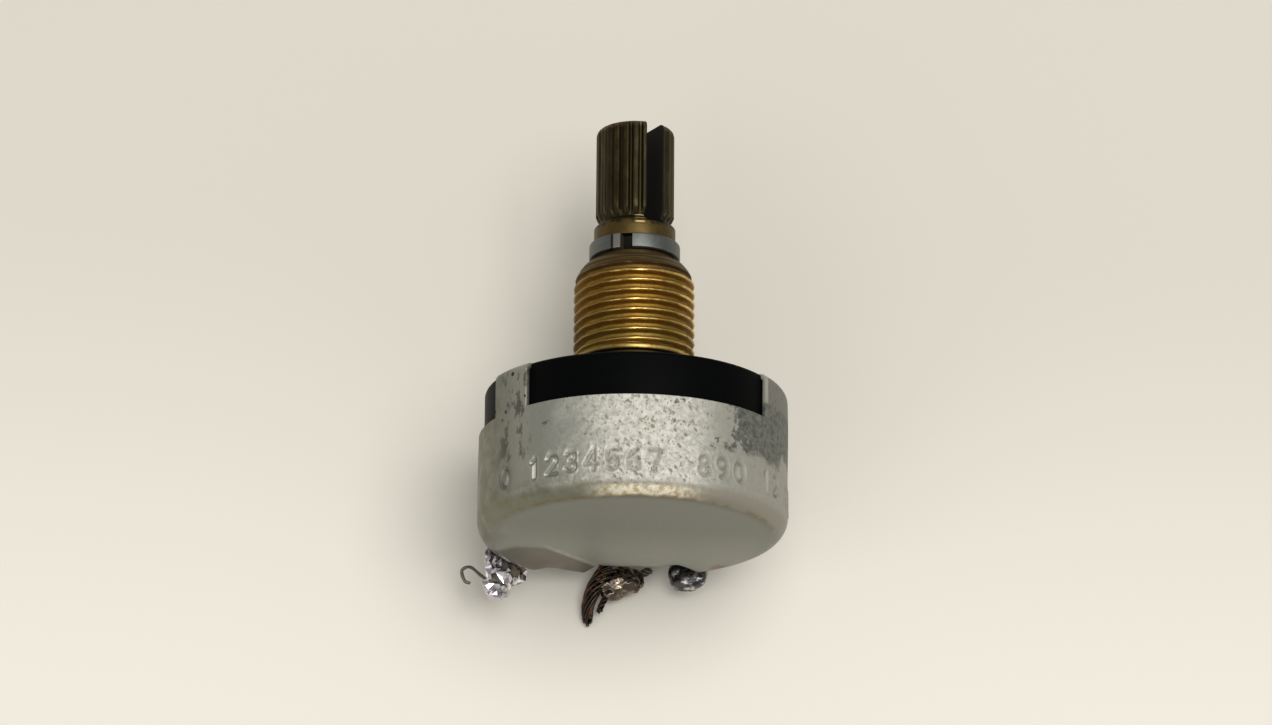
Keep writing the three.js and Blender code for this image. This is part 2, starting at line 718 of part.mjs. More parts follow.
// Turning parts, drawn with the wiper and the slot at bearing 0, the middle of the travel
const rotor = new THREE.Group();
rotor.rotation.z = radians(REST_BEARING);
rotor.add(
  piece('shaft', makeShaft(), FINISH.darkBrass),
  piece('retaining_ring', makeRetainingRing(), FINISH.steel),
  piece('rotor_disc', makeRotor(), FINISH.brownPhenolic),
  piece('wiper_spring', makeWiper(), FINISH.bronze),
);
for (const { name, bearing } of WIPER_RIVETS) {
  rotor.add(piece(name, makeWiperRivet(bearing), FINISH.brass));
}

const potentiometer = new THREE.Group();
potentiometer.rotation.x = Math.PI / 2;
potentiometer.add(housing, rotor);

export default potentiometer;
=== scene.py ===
"""The looks of a rotary potentiometer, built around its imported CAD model.

Every shape is worked out in the control's own axes, in millimetres: +Z runs along the shaft to
its tip, z = 0 is the face that seats against a panel and +Y points away from the lugs. A bearing
is an angle about the shaft, 0 at +Y and growing towards -X. to_row() turns these into the frame
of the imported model, where the shaft points to -Y and +Z is up, in metres.
"""
import math

import bmesh
import bpy
import numpy as np
from mathutils import Matrix, Vector, noise


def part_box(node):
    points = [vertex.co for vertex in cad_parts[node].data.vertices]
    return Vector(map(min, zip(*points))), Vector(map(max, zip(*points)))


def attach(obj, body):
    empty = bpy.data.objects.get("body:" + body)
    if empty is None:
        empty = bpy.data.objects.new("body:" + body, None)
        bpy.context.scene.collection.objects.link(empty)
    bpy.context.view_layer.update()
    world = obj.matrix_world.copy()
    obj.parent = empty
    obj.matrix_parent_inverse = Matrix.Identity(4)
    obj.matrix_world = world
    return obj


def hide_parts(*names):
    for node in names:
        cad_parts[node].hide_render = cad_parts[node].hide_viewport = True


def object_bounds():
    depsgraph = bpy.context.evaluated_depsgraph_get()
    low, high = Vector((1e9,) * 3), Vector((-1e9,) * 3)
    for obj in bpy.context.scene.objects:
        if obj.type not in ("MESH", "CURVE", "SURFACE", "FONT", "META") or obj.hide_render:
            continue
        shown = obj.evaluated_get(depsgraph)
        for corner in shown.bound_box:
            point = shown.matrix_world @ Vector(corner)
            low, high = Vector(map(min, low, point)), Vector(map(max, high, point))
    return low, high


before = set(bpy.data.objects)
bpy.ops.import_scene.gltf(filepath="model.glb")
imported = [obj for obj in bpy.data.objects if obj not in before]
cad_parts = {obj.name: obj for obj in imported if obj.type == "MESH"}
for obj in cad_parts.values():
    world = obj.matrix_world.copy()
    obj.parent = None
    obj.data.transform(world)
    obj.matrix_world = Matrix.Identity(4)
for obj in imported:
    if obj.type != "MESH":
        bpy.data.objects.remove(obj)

CAD_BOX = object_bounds()
MM = 0.001


def span(node):
    """Lowest and highest corner of a CAD node, in the control's own axes, in millimetres."""
    low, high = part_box(node)
    return Vector((low.x, low.z, -high.y)) / MM, Vector((high.x, high.z, -low.y)) / MM


# Sizes that the frame gives
CASE_R = span("case_can")[1].y
CASE_BACK = span("case_can")[0].z
TAB_TOP = span("case_can")[1].z
BASE_R = span("base_plate")[1].y
BASE_FRONT = span("base_plate")[1].z
BASE_BOTTOM = span("element_wafer")[0].z
BASE_REAR = span("thrust_washer")[1].z + 0.02
BUSHING_TOP = span("bushing")[1].z
FLANGE_R = span("bushing")[1].y
SHAFT_TIP = span("shaft")[1].z
SHAFT_REAR = span("shaft")[0].z
RING_LOW = span("retaining_ring")[0].z
RING_HIGH = span("retaining_ring")[1].z
RING_R = span("retaining_ring")[1].y
DISC_REAR = span("rotor_disc")[0].z

# Case
SHEET = 0.4
LUG_SLOT_FLOOR = span("terminal_rivet_1")[1].z - 1.96
CASE_CORNER_R = 1.6
CASE_RIM = BASE_FRONT - 3.58
TABS = ((51.5, 85), (111.5, 128.5), (-128.5, -111.5), (-68.4, -50))
TAB_BEND_R = 0.6
TAB_REACH_R = 9.9
LIP_BULGE = 0.05
LUG_SLOTS = ((139.2, 152.8), (173.2, 186.8), (207.2, 220.8))

# The back's far edge was struck: a bearing range where it is pushed in deeply, ending at a crease,
# and a shallow facet beyond the crease, folded along a line across the back
DENT_BEARINGS = (143, 152, 191.5, 194)
DENT_DEPTH = 0.85
DENT_RADII = (7.0, 11.2)
FACET_LINE = ((2.4, -7.2), (6.2, -3.3))
FACET_SLOPE = 0.04
FOLD_WIDTH = 0.15
FACET_BEARINGS = (191.5, 194, 205, 214)
# and beyond that the edge stands out a little
SWELL_BEARINGS = (211, 219, 258, 270)
SWELL = 0.5
SWELL_RADII = (9.0, 11.2)

# Generic stamped digits, and the bearing of each group's first one
DIGIT_WIDTH = 1.05
DIGIT_PITCH = 7.8
DIGIT_FOOT = CASE_BACK + 1.82
STROKE_HALF_WIDTH = 0.14
STROKE_DEPTH = 0.2
STROKE_LIP = 0.06
STAMPED = ((-63.5, "0"), (-48.0, "1234567"), (17.6, "890"), (48.5, "12"), (70.0, "34"))

# Base: its hole, the deeper seat behind it, its skirt and the shallow ring sunk into its face
BASE_HOLE_R = 4.94
BASE_SEAT = (5.44, 0.34)
BASE_SKIRT_R = 10.9
BASE_EDGE_R = 0.3
BASE_FACE_RING = (6.3, 9.3)
BASE_FACE_DEPTH = 0.08
# how far a tab's seat reaches past the tab, in degrees
TAB_SEAT_MARGIN = 0.6

# Bushing; its foot goes through the base and is spread behind it
BUSHING_FOOT_R = 4.9
SEAT_INNER_R = 4.6
BUSHING_SPREAD = (5.4, 0.3)
RELIEF_R = 4.38
THREAD_PITCH = 25.4 / 32
FIRST_CREST = 2.28
THREAD_CREST_R = 4.7
THREAD_ROOT_R = 4.24
THREAD_START = 1.75
NOSE_LENGTH = 2.0
NOSE_R = 3.85
BORE_R = 3.225

# Shaft, drawn with its slot at bearing 0 and then turned to where it rests
REST_BEARING = 24
SHAFT_R = 3.175
COLLAR_TOP = 12.6
NECK_R = 2.65
SPLINE_START = 13.05
SPLINE_TIP_R = 3.05
SPLINE_ROOT_R = 2.77
SPLINE_COUNT = 24
SLOT_WIDTH = 1.45
SLOT_FLOOR = 12.5
DRIVE_R = 2.2
DRIVE_FLAT = 1.75
HEAD_R = 2.9
HEAD_FACE_R = 2.4
TIP_R = 0.42
RING_GROOVE_R = 2.55
RING_INNER_R = 2.58
RING_MIDDLE_R = 3.1
RING_GAP_BEARING = -41.5
RING_GAP = 0.85

# Lugs: bearing, how far the tip stands past the back, and its lean towards higher bearings
TERMINALS = {1: (146, -0.5, 1.5), 2: (180, 0.1, 0.0), 3: (-146, 0.9, 2.7)}
LUG_MIDDLE_R = 12.35


def to_row(points):
    """Points of the control's own axes, in millimetres, as points of the row frame, in metres."""
    points = np.asarray(points, float).reshape(-1, 3)
    return np.column_stack((points[:, 0], -points[:, 2], points[:, 1])) * MM


def direction(bearing):
    angle = math.radians(bearing)
    return np.array((-math.sin(angle), math.cos(angle), 0.0))


def beside(bearing, out, sideways, height):
    """A point beside the shaft: out along a bearing, sideways towards higher bearings, and up."""
    return direction(bearing) * out + direction(bearing + 90) * sideways + np.array((0, 0, height))


def lug_end(number):
    bearing, past, lean = TERMINALS[number]
    return beside(bearing, LUG_MIDDLE_R, lean, CASE_BACK - past - 0.02)


def smoothstep(low, high, value):
    """0 at low, 1 at high and smooth between."""
    share = np.clip((np.asarray(value, float) - low) / (high - low), 0, 1)
    return share * share * (3 - 2 * share)


# --------------------------------------------------------------------------- materials


class Finish:
    """A node material in the making. Its coordinates are the row frame's, in millimetres, so x is
    the control's own x, z its y, and height() its z."""

    def __init__(self, name, **settings):
        self.material = bpy.data.materials.new(name)
        self.material.use_nodes = True
        self.tree = self.material.node_tree
        self.shader = self.tree.nodes["Principled BSDF"]
        for socket, value in settings.items():
            self.shader.inputs[socket.replace("_", " ")].default_value = value
        place = self.add("ShaderNodeTexCoord").outputs["Object"]
        scale = self.add("ShaderNodeVectorMath", {0: place, "Scale": 1 / MM}, operation="SCALE")
        self.place = scale.outputs[0]
        self.x, self.y, self.z = self.add("ShaderNodeSeparateXYZ", {0: self.place}).outputs

    def add(self, kind, inputs=(), **settings):
        """A new node, with its inputs linked or set."""
        node = self.tree.nodes.new(kind)
        for name, value in settings.items():
            setattr(node, name, value)
        for socket, value in dict(inputs).items():
            self.give(node.inputs[socket], value)
        return node

    def give(self, socket, value):
        if isinstance(value, bpy.types.NodeSocket):
            self.tree.links.new(value, socket)
        elif hasattr(value, "__len__") and len(value) == 3 and socket.type == "RGBA":
            socket.default_value = (*value, 1)
        else:
            socket.default_value = value

    def math(self, operation, a, b=0.0):
        return self.add("ShaderNodeMath", {0: a, 1: b}, operation=operation).outputs[0]

    def all_of(self, first, *others):
        """The product of several masks or shares."""
        for other in others:
            first = self.math("MULTIPLY", first, other)
        return first

    def shifted(self, value, pattern, reach):
        """A value moved up or down by at most half of reach, as a pattern from 0 to 1 says."""
        offset = self.math("MULTIPLY", self.math("SUBTRACT", pattern, 0.5), reach)
        return self.math("ADD", value, offset)

    def between(self, value, low, high):
        """0 below low, 1 above high and smooth between; low may be the larger one."""
        inputs = {"Value": value, "From Min": min(low, high), "From Max": max(low, high),
                  "To Min": float(low > high), "To Max": float(low < high)}
        node = self.add("ShaderNodeMapRange", inputs, interpolation_type="SMOOTHSTEP")
        return node.outputs["Result"]

    def band(self, value, low, low_full, high_full, high):
        """1 between the two middle numbers and 0 outside the outer two."""
        return self.all_of(self.between(value, low, low_full), self.between(value, high, high_full))

    def near(self, value, middle, full, gone):
        """1 within full of the middle and 0 further off than gone."""
        off = self.math("ABSOLUTE", self.math("SUBTRACT", value, middle))
        return self.between(off, gone, full)

    def stretched(self, scale, offset=(0, 0, 0)):
        inputs = {"Vector": self.place, "Scale": scale, "Location": offset}
        return self.add("ShaderNodeMapping", inputs).outputs[0]

    def slanted(self, degrees, lengths):
        """Coordinates whose pattern is drawn out along a slant, seen from away from the lugs."""
        turn = (0, 0, math.radians(degrees))
        inputs = {"Vector": self.place, "Rotation": turn, "Scale": lengths}
        return self.add("ShaderNodeMapping", inputs, vector_type="TEXTURE").outputs[0]

    def noise(self, scale, detail=4.0, roughness=0.6, at=None):
        inputs = {"Vector": at or self.place, "Scale": scale, "Detail": detail,
                  "Roughness": roughness}
        return self.add("ShaderNodeTexNoise", inputs).outputs["Fac"]

    def cells(self, scale, at=None):
        inputs = {"Vector": at or self.place, "Scale": scale}
        return self.add("ShaderNodeTexVoronoi", inputs).outputs["Distance"]

    def blend(self, kind, data_type, share, a, b):
        node = self.add("ShaderNodeMix", data_type=data_type)
        sockets = {s.identifier: s for s in node.inputs}
        self.give(sockets["Factor_Float"], share)
        self.give(sockets["A_" + kind], a)
        self.give(sockets["B_" + kind], b)
        return next(s for s in node.outputs if s.identifier == "Result_" + kind)

    def mix(self, share, a, b):
        return self.blend("Color", "RGBA", share, a, b)

    def blend_value(self, share, a, b):
        return self.blend("Float", "FLOAT", share, a, b)

    def tint(self, colour, tone, *shares):
        """A colour mixed towards a tone by the product of masks and shares."""
        return self.mix(self.all_of(*shares), colour, tone)

    def height(self, above=0.0):
        """Height along the shaft above a level."""
        return self.math("SUBTRACT", -above, self.y)

    def radius(self):
        """Distance from the shaft's axis."""
        flat = self.add("ShaderNodeVectorMath", {0: self.place, 1: (1, 0, 1)}, operation="MULTIPLY")
        node = self.add("ShaderNodeVectorMath", {0: flat.outputs[0]}, operation="LENGTH")
        return node.outputs["Value"]

    def bump(self, height, strength, distance):
        """Adds to the surface's bump; distance is in millimetres."""
        inputs = {"Height": height, "Strength": strength, "Distance": distance * MM}
        node = self.add("ShaderNodeBump", inputs)
        before = self.shader.inputs["Normal"].links
        if before:
            self.give(node.inputs["Normal"], before[0].from_socket)
        self.give(self.shader.inputs["Normal"], node.outputs[0])

    def finish(self, colour, roughness=None, metallic=None):
        """Sets the shader's colour, roughness and metalness, and hands back the material."""
        parts = {"Base Color": colour, "Roughness": roughness, "Metallic": metallic}
        for socket, value in parts.items():
            if value is not None:
                self.give(self.shader.inputs[socket], value)
        return self.material


def zinc_case():
    """Aged zinc plate: smooth grey at one side and on the back, pale pitted oxide over the rest."""
    f = Finish("zinc_plated_steel", IOR=1.5)
    above_back, above_rim = f.height(CASE_BACK), f.height(CASE_RIM)
    wall = f.between(f.radius(), CASE_R - 0.9, CASE_R - 0.25)
    grain = f.noise(2.2, detail=6, roughness=0.72)
    fine = f.noise(7.0, detail=3, roughness=0.6)
    oxidised, speckled = zinc_oxide(f, above_back, wall)
    oxide = f.mix(f.between(grain, 0.32, 0.66), (0.37, 0.365, 0.315), (0.66, 0.65, 0.585))
    weathered = f.mix(grain, (0.24, 0.235, 0.20), (0.41, 0.40, 0.345))
    oxide = f.mix(f.between(f.x, -2.5, -6.0), oxide, weathered)
    colour = f.mix(oxidised, smooth_zinc(f, above_back), oxide)
    colour = f.tint(colour, (0.17, 0.155, 0.085), speckled, 0.8)
    colour = zinc_patch(f, colour, above_rim, wall, fine)
    nicks = f.between(f.cells(0.9, at=f.stretched((1, 1, 1), (0.7, 2.4, 5.2))), 0.2, 0.12)
    nicks = f.all_of(nicks, f.between(above_rim, -0.9, -0.2), wall)
    colour = f.mix(nicks, colour, (0.03, 0.03, 0.026))
    colour = zinc_smudge(f, colour, above_rim)
    colour = zinc_corner(f, colour, above_back)
    colour = zinc_back(f, colour, above_back, grain)
    # painted shade in the bottoms of the stamped digits
    struck = f.between(f.radius(), CASE_R - 0.06, CASE_R - 0.17)
    digit_height = f.band(f.height(DIGIT_FOOT), -0.22, -0.07, 2.1, 2.3)
    colour = f.tint(colour, (0.15, 0.145, 0.10), struck, digit_height, 0.38)
    smooth, rough = f.blend_value(fine, 0.38, 0.5), f.blend_value(grain, 0.5, 0.72)
    f.bump(grain, 0.2, 0.03)
    f.bump(fine, 0.15, 0.012)
    f.bump(f.all_of(f.math("ADD", speckled, nicks), -1.0), 0.7, 0.04)
    return f.finish(colour, f.blend_value(oxidised, smooth, rough),
                    f.blend_value(oxidised, 0.8, 0.25))


def smooth_zinc(f, above_back):
    """Plate that isn't oxidised: grey, with painted shade at both sides and on the back, and a
    ragged dark brown band at +X.
    """
    grey = f.mix(f.noise(0.5, detail=3), (0.27, 0.275, 0.235), (0.36, 0.36, 0.32))
    # painted shade at both sides of the can
    grey = f.tint(grey, (0.20, 0.205, 0.175), f.between(f.math("ABSOLUTE", f.x), 9.0, 10.8))
    # painted shade on the back, darker still on its half towards +Y
    back = f.between(above_back, 0.5, 0.1)
    grey = f.tint(grey, (0.21, 0.212, 0.185), back, 0.5)
    grey = f.tint(grey, (0.17, 0.169, 0.145), back, f.between(f.z, -6.0, 4.0))
    dark_band = f.all_of(f.between(f.x, 10.4, 11.4), f.between(f.noise(0.7, detail=5), 0.35, 0.6))
    return f.tint(grey, (0.12, 0.11, 0.055), dark_band, 0.7)


def zinc_oxide(f, above_back, wall):
    """Where the case is oxidised, away from the lugs, and where olive pits mark the oxide."""
    side = f.shifted(f.x, f.noise(0.5, detail=4, roughness=0.65), 5.0)
    oxidised = f.all_of(f.between(side, 9.0, 1.5), f.between(f.z, -4.0, 3.0), wall)
    crowded = f.noise(0.9, detail=5, roughness=0.7)
    crowded = f.math("ADD", crowded, f.all_of(f.between(f.x, -6.5, 0.5), 0.16))
    crowded = f.math("SUBTRACT", crowded, f.all_of(f.between(above_back, 7.0, 3.5), 0.08))
    uneven = f.noise(3.0, detail=2)
    large = f.shifted(f.cells(2.1, at=f.slanted(35, (1.0, 1.7, 1.0))), uneven, 0.5)
    small = f.shifted(f.cells(4.3, at=f.slanted(-20, (1.0, 1.4, 1.0))), uneven, 0.5)
    small_pits = f.all_of(f.between(small, 0.34, 0.14), 0.8)
    pits = f.math("MAXIMUM", f.between(large, 0.34, 0.12), small_pits)
    return oxidised, f.all_of(pits, f.between(crowded, 0.46, 0.60), oxidised)


def zinc_patch(f, colour, above_rim, wall, fine):
    """Where the plating has gone dark: islands that grow together towards one tab, and the tab."""
    ragged = f.noise(0.9, detail=7, roughness=0.72)
    growth = f.all_of(f.between(f.x, -3.6, -10.0), 0.36)
    islands = f.between(f.math("ADD", ragged, growth), 0.635, 0.67)
    foot = f.blend_value(f.between(f.x, -10.2, -11.0), -3.7, -2.6)
    lower = f.between(f.math("SUBTRACT", f.shifted(above_rim, ragged, 2.5), foot), -0.1, 0.6)
    upper = f.between(above_rim, 1.4, 1.0)
    front = f.between(f.z, -1.0, 1.0)
    tab = f.all_of(f.between(f.x, -9.25, -9.4), f.between(above_rim, -0.1, 0.3), front)
    worn = f.mix(fine, (0.12, 0.12, 0.10), (0.20, 0.195, 0.17))
    worn = f.tint(worn, (0.05, 0.05, 0.042), f.between(f.cells(2.0), 0.2, 0.12))
    colour = f.tint(colour, worn, tab, 0.9)
    colour = f.tint(colour, (0.36, 0.35, 0.31), tab, f.between(f.x, -9.48, -9.4))
    cloud = f.between(f.noise(2.5, detail=5, roughness=0.7), 0.35, 0.65)
    dark = f.mix(cloud, (0.075, 0.078, 0.068), (0.17, 0.175, 0.15))
    return f.tint(colour, dark, islands, lower, upper, wall, front)


def zinc_smudge(f, colour, above_rim):
    """Smudges on one tab and on the wall under it."""
    place = f.stretched((1, 0.5, 1), (8.0, 1.0, 3.0))
    smudge = f.between(f.noise(1.1, detail=5, roughness=0.7, at=place), 0.5, 0.6)
    smudge = f.all_of(smudge, f.band(f.x, 8.4, 9.2, 10.4, 11.2), f.between(above_rim, -4.5, -3.5))
    return f.tint(colour, (0.05, 0.048, 0.035), smudge, 0.75)


def zinc_corner(f, colour, above_back):
    """The corner between wall and back: tarnished, with a painted highlight in the middle of its
    near side and a painted shade line at its foot.
    """
    front = f.between(f.z, 0.0, 5.0)
    dull = f.mix(f.between(f.x, 3.0, -3.0), (0.17, 0.172, 0.125), (0.27, 0.25, 0.20))
    colour = f.tint(colour, dull, f.band(above_back, 0.04, 0.15, 0.75, 1.25), front, 0.8)
    # painted highlight: the corner's reflection of the pale floor, mottled
    corner_highlight = f.all_of(f.band(above_back, 0.05, 0.2, 0.6, 0.95), f.near(f.x, 0.3, 1.6, 5.2), front)
    mottle = f.between(f.noise(2.2, detail=5, roughness=0.7), 0.38, 0.62)
    bright = f.mix(mottle, (0.56, 0.44, 0.24), (0.95, 0.90, 0.76))
    colour = f.tint(colour, bright, corner_highlight, 0.95)
    # painted shade: a thin dark line where the corner meets the back
    line = f.band(above_back, 0.03, 0.09, 0.14, 0.26)
    line = f.all_of(line, f.between(f.noise(0.8, detail=4), 0.35, 0.6))
    colour = f.tint(colour, (0.16, 0.12, 0.06), line, front, 0.7)
    olive = f.all_of(f.band(above_back, 0.1, 0.5, 1.2, 2.2), f.between(f.x, 1.0, 6.0))
    olive = f.all_of(olive, f.between(f.noise(1.0, detail=5, roughness=0.7), 0.42, 0.6))
    return f.tint(colour, (0.16, 0.145, 0.075), olive, front, 0.55)


def zinc_back(f, colour, above_back, grain):
    """The struck edge of the back, darker brown past its fold with a painted highlight along the
    fold, and a smear of burnt flux by one lug.
    """
    low_down = f.between(above_back, 2.2, 1.2)
    (start_x, start_y), (end_x, end_y) = FACET_LINE
    length = math.hypot(end_x - start_x, end_y - start_y)
    fold = f.math("SUBTRACT",
                  f.all_of(f.math("SUBTRACT", f.x, start_x), (end_y - start_y) / length),
                  f.all_of(f.math("SUBTRACT", f.z, start_y), (end_x - start_x) / length))
    facet = f.between(f.shifted(fold, grain, 0.9), -0.1, 0.5)
    facet = f.all_of(facet, f.between(f.z, end_y + 0.3, end_y - 0.7), low_down)
    brown = f.mix(f.between(f.x, 6.5, 9.5), (0.115, 0.092, 0.066), (0.055, 0.05, 0.03))
    colour = f.tint(colour, brown, facet, f.blend_value(grain, 0.6, 0.95))
    # painted highlight along the fold
    crest = f.all_of(f.near(fold, 0, 0.1, 0.5), low_down, f.between(f.x, 7.0, 5.4))
    colour = f.tint(colour, (0.46, 0.44, 0.39), crest, f.between(grain, 0.3, 0.6), 0.55)
    # distance from the middle of the smear
    inputs = {0: f.place, 1: (-7.7, -CASE_BACK, -7.05)}
    off = f.add("ShaderNodeVectorMath", inputs, operation="DISTANCE").outputs["Value"]
    reach = f.shifted(off, grain, 1.6)
    return f.tint(colour, (0.17, 0.06, 0.03), f.between(reach, 1.3, 0.3), 0.6)


def black_phenolic():
    f = Finish("black_phenolic", Specular_IOR_Level=0.03)
    cloud = f.noise(1.1, detail=5)
    dust = f.between(f.noise(5.0, detail=4, roughness=0.75), 0.62, 0.8)
    black = f.mix(cloud, (0.0007, 0.0011, 0.0010), (0.0016, 0.0022, 0.0020))
    f.bump(f.noise(9.0, detail=3), 0.15, 0.01)
    colour = f.tint(black, (0.05, 0.048, 0.042), dust, 0.12)
    return f.finish(colour, f.blend_value(cloud, 0.38, 0.55))


def turned_brass():
    """The bushing: bright along the crests, olive-brown in the roots and dark at the nose, with
    painted shade on its +X side and at its foot.
    """
    f = Finish("turned_brass", Metallic=1.0)
    height, radius = f.height(), f.radius()
    patina = f.noise(0.9, detail=5, roughness=0.65)
    fine = f.noise(6.0, detail=3)
    worn = f.mix(f.between(patina, 0.3, 0.7), (0.36, 0.225, 0.055), (0.96, 0.68, 0.23))
    # painted shade: the crests darken towards +X
    worn = f.mix(f.between(f.x, 0.5, 4.2), worn, (0.24, 0.155, 0.042))
    deep = f.mix(fine, (0.16, 0.09, 0.016), (0.38, 0.23, 0.045))
    crest = f.between(radius, THREAD_CREST_R - 0.16, THREAD_CREST_R - 0.03)
    colour = f.mix(crest, deep, worn)
    streaks = f.noise(1.7, detail=5, roughness=0.7, at=f.stretched((1, 1, 1), (4.0, 9.0, 1.0)))
    colour = f.tint(colour, (0.46, 0.17, 0.035), f.between(streaks, 0.5, 0.68), 0.45)
    olive = f.all_of(f.between(height, 5.5, 3.0), f.between(patina, 0.4, 0.6), 0.4)
    colour = f.tint(colour, (0.24, 0.22, 0.07), olive)
    # lathe marks, two to a turn of the thread, on the dull nose
    lines = f.math("SINE", f.all_of(height, 2 * math.pi / THREAD_PITCH * 2))
    scored = f.all_of(f.between(lines, 0.2, 0.9), patina)
    nose = f.mix(scored, (0.07, 0.046, 0.022), (0.20, 0.14, 0.075))
    colour = f.tint(colour, nose, f.between(height, BUSHING_TOP - 1.6, BUSHING_TOP - 1.0), 0.9)
    # painted shade on the narrow foot below the thread
    foot = f.all_of(f.between(height, 1.65, 1.5), f.between(radius, 5.2, 4.9))
    colour = f.tint(colour, (0.03, 0.02, 0.009), foot, 0.92)
    colour = f.tint(colour, (0.13, 0.085, 0.03), f.between(patina, 0.55, 0.75), 0.4)
    f.bump(fine, 0.35, 0.02)
    return f.finish(colour, f.blend_value(crest, 0.55, f.blend_value(fine, 0.24, 0.46)))


def oxidised_brass():
    """The shaft: nearly black from the top of the collar up, brown brass below."""
    f = Finish("oxidised_brass", Specular_IOR_Level=0.3)
    height, radius = f.height(), f.radius()
    patina = f.noise(1.0, detail=5, roughness=0.65, at=f.stretched((1, 0.4, 1)))
    dark = f.mix(patina, (0.010, 0.008, 0.003), (0.048, 0.038, 0.015))
    collar = f.mix(f.noise(1.8, detail=4), (0.055, 0.037, 0.010), (0.12, 0.08, 0.026))
    grimy_height = f.shifted(height, f.noise(1.6, detail=4), 1.4)
    colour = f.mix(f.between(grimy_height, COLLAR_TOP - 0.05, COLLAR_TOP - 0.4), dark, collar)
    # painted shade in the ring's groove
    groove = f.between(height, COLLAR_TOP - 1.0, COLLAR_TOP - 1.3)
    colour = f.tint(colour, (0.012, 0.011, 0.008), f.between(radius, 3.05, 2.85), groove)
    edge = f.between(radius, SPLINE_TIP_R - 0.06, SPLINE_TIP_R)
    colour = f.tint(colour, (0.12, 0.09, 0.04), edge, f.between(patina, 0.5, 0.68), 0.35)
    tip = f.between(height, SHAFT_TIP - 0.55, SHAFT_TIP - 0.2)
    colour = f.tint(colour, (0.125, 0.078, 0.052), tip, f.between(f.noise(1.2), 0.2, 0.7))
    # painted shade in the slot
    turned_by = math.radians(REST_BEARING)
    off = f.math("ADD", f.all_of(f.x, math.cos(turned_by)), f.all_of(f.z, math.sin(turned_by)))
    inside = f.near(off, 0, SLOT_WIDTH / 2 + 0.03, SLOT_WIDTH / 2 + 0.1)
    inside = f.all_of(inside, f.between(height, SLOT_FLOOR - 0.1, SLOT_FLOOR))
    colour = f.tint(colour, (0.0015, 0.0012, 0.0006), inside, 0.9)
    # painted highlight: short bright rungs, one above another, on the turning marks at the near
    # side of the collar's top
    rungs = f.between(f.math("SINE", f.all_of(height, 19.0)), 0.1, 0.7)
    turning_highlight = f.all_of(f.band(height, COLLAR_TOP - 0.6, COLLAR_TOP - 0.4, 13.1, 13.3),
                   f.band(f.x, -0.5, -0.3, 0.22, 0.42), f.between(f.z, 0.0, 0.5))
    colour = f.tint(colour, (0.50, 0.38, 0.17), turning_highlight, rungs)
    f.bump(f.noise(5.0, detail=4), 0.3, 0.02)
    return f.finish(colour, f.blend_value(inside, f.blend_value(patina, 0.36, 0.55), 0.9),
                    f.blend_value(inside, 0.85, 0.1))


def plain_metal(name, low, high, roughness, scale=2.0, stain_and_painted_light=None, bump=0.02, sharpness=0.0):
    """A metal whose colour and gloss wander between two values, with stains where given; on the
    solders these are painted glints and dark reflections.
    """
    f = Finish(name, Metallic=1.0)
    cloud = f.noise(scale, detail=5, roughness=0.65)
    if sharpness:
        cloud = f.between(cloud, 0.5 - 0.1 / sharpness, 0.5 + 0.1 / sharpness)
    colour = f.mix(cloud, low, high)
    if stain_and_painted_light:
        colour = f.tint(colour, stain_and_painted_light, f.between(f.noise(scale * 0.7, detail=4), 0.52, 0.68), 0.8)
    f.bump(f.noise(scale * 4, detail=4), 0.3, bump)
    return f.finish(colour, f.blend_value(cloud, roughness * 0.8, roughness * 1.25))


def ring_steel():
    """The snap ring: dull steel, brighter at the end left of its gap, with a nick across it."""
    f = Finish("ring_steel", Metallic=1.0)
    cloud = f.noise(2.0, detail=5, roughness=0.65)
    colour = f.mix(cloud, (0.085, 0.09, 0.085), (0.20, 0.21, 0.20))
    front = f.between(f.z, 1.0, 1.6)
    colour = f.tint(colour, (0.34, 0.33, 0.29), front, f.band(f.x, 0.9, 1.1, 1.95, 2.1), 0.6)
    colour = f.tint(colour, (0.02, 0.018, 0.012), front, f.near(f.x, 2.12, 0.05, 0.12), 0.9)
    f.bump(f.noise(8.0, detail=4), 0.3, 0.02)
    return f.finish(colour, f.blend_value(cloud, 0.4, 0.56))


def moulding(name, low, high, roughness, scale=2.0, layers=0.0):
    """A moulded or pressed material, in layers across the shaft where layers is given."""
    f = Finish(name)
    if layers:
        cloud = f.noise(scale, detail=4, at=f.stretched((1, layers, 1)))
    else:
        cloud = f.noise(scale, detail=5)
    f.bump(f.noise(scale * 5, detail=3), 0.2, 0.01)
    look = f.blend_value(cloud, roughness * 0.85, roughness * 1.15)
    return f.finish(f.mix(cloud, low, high), look)


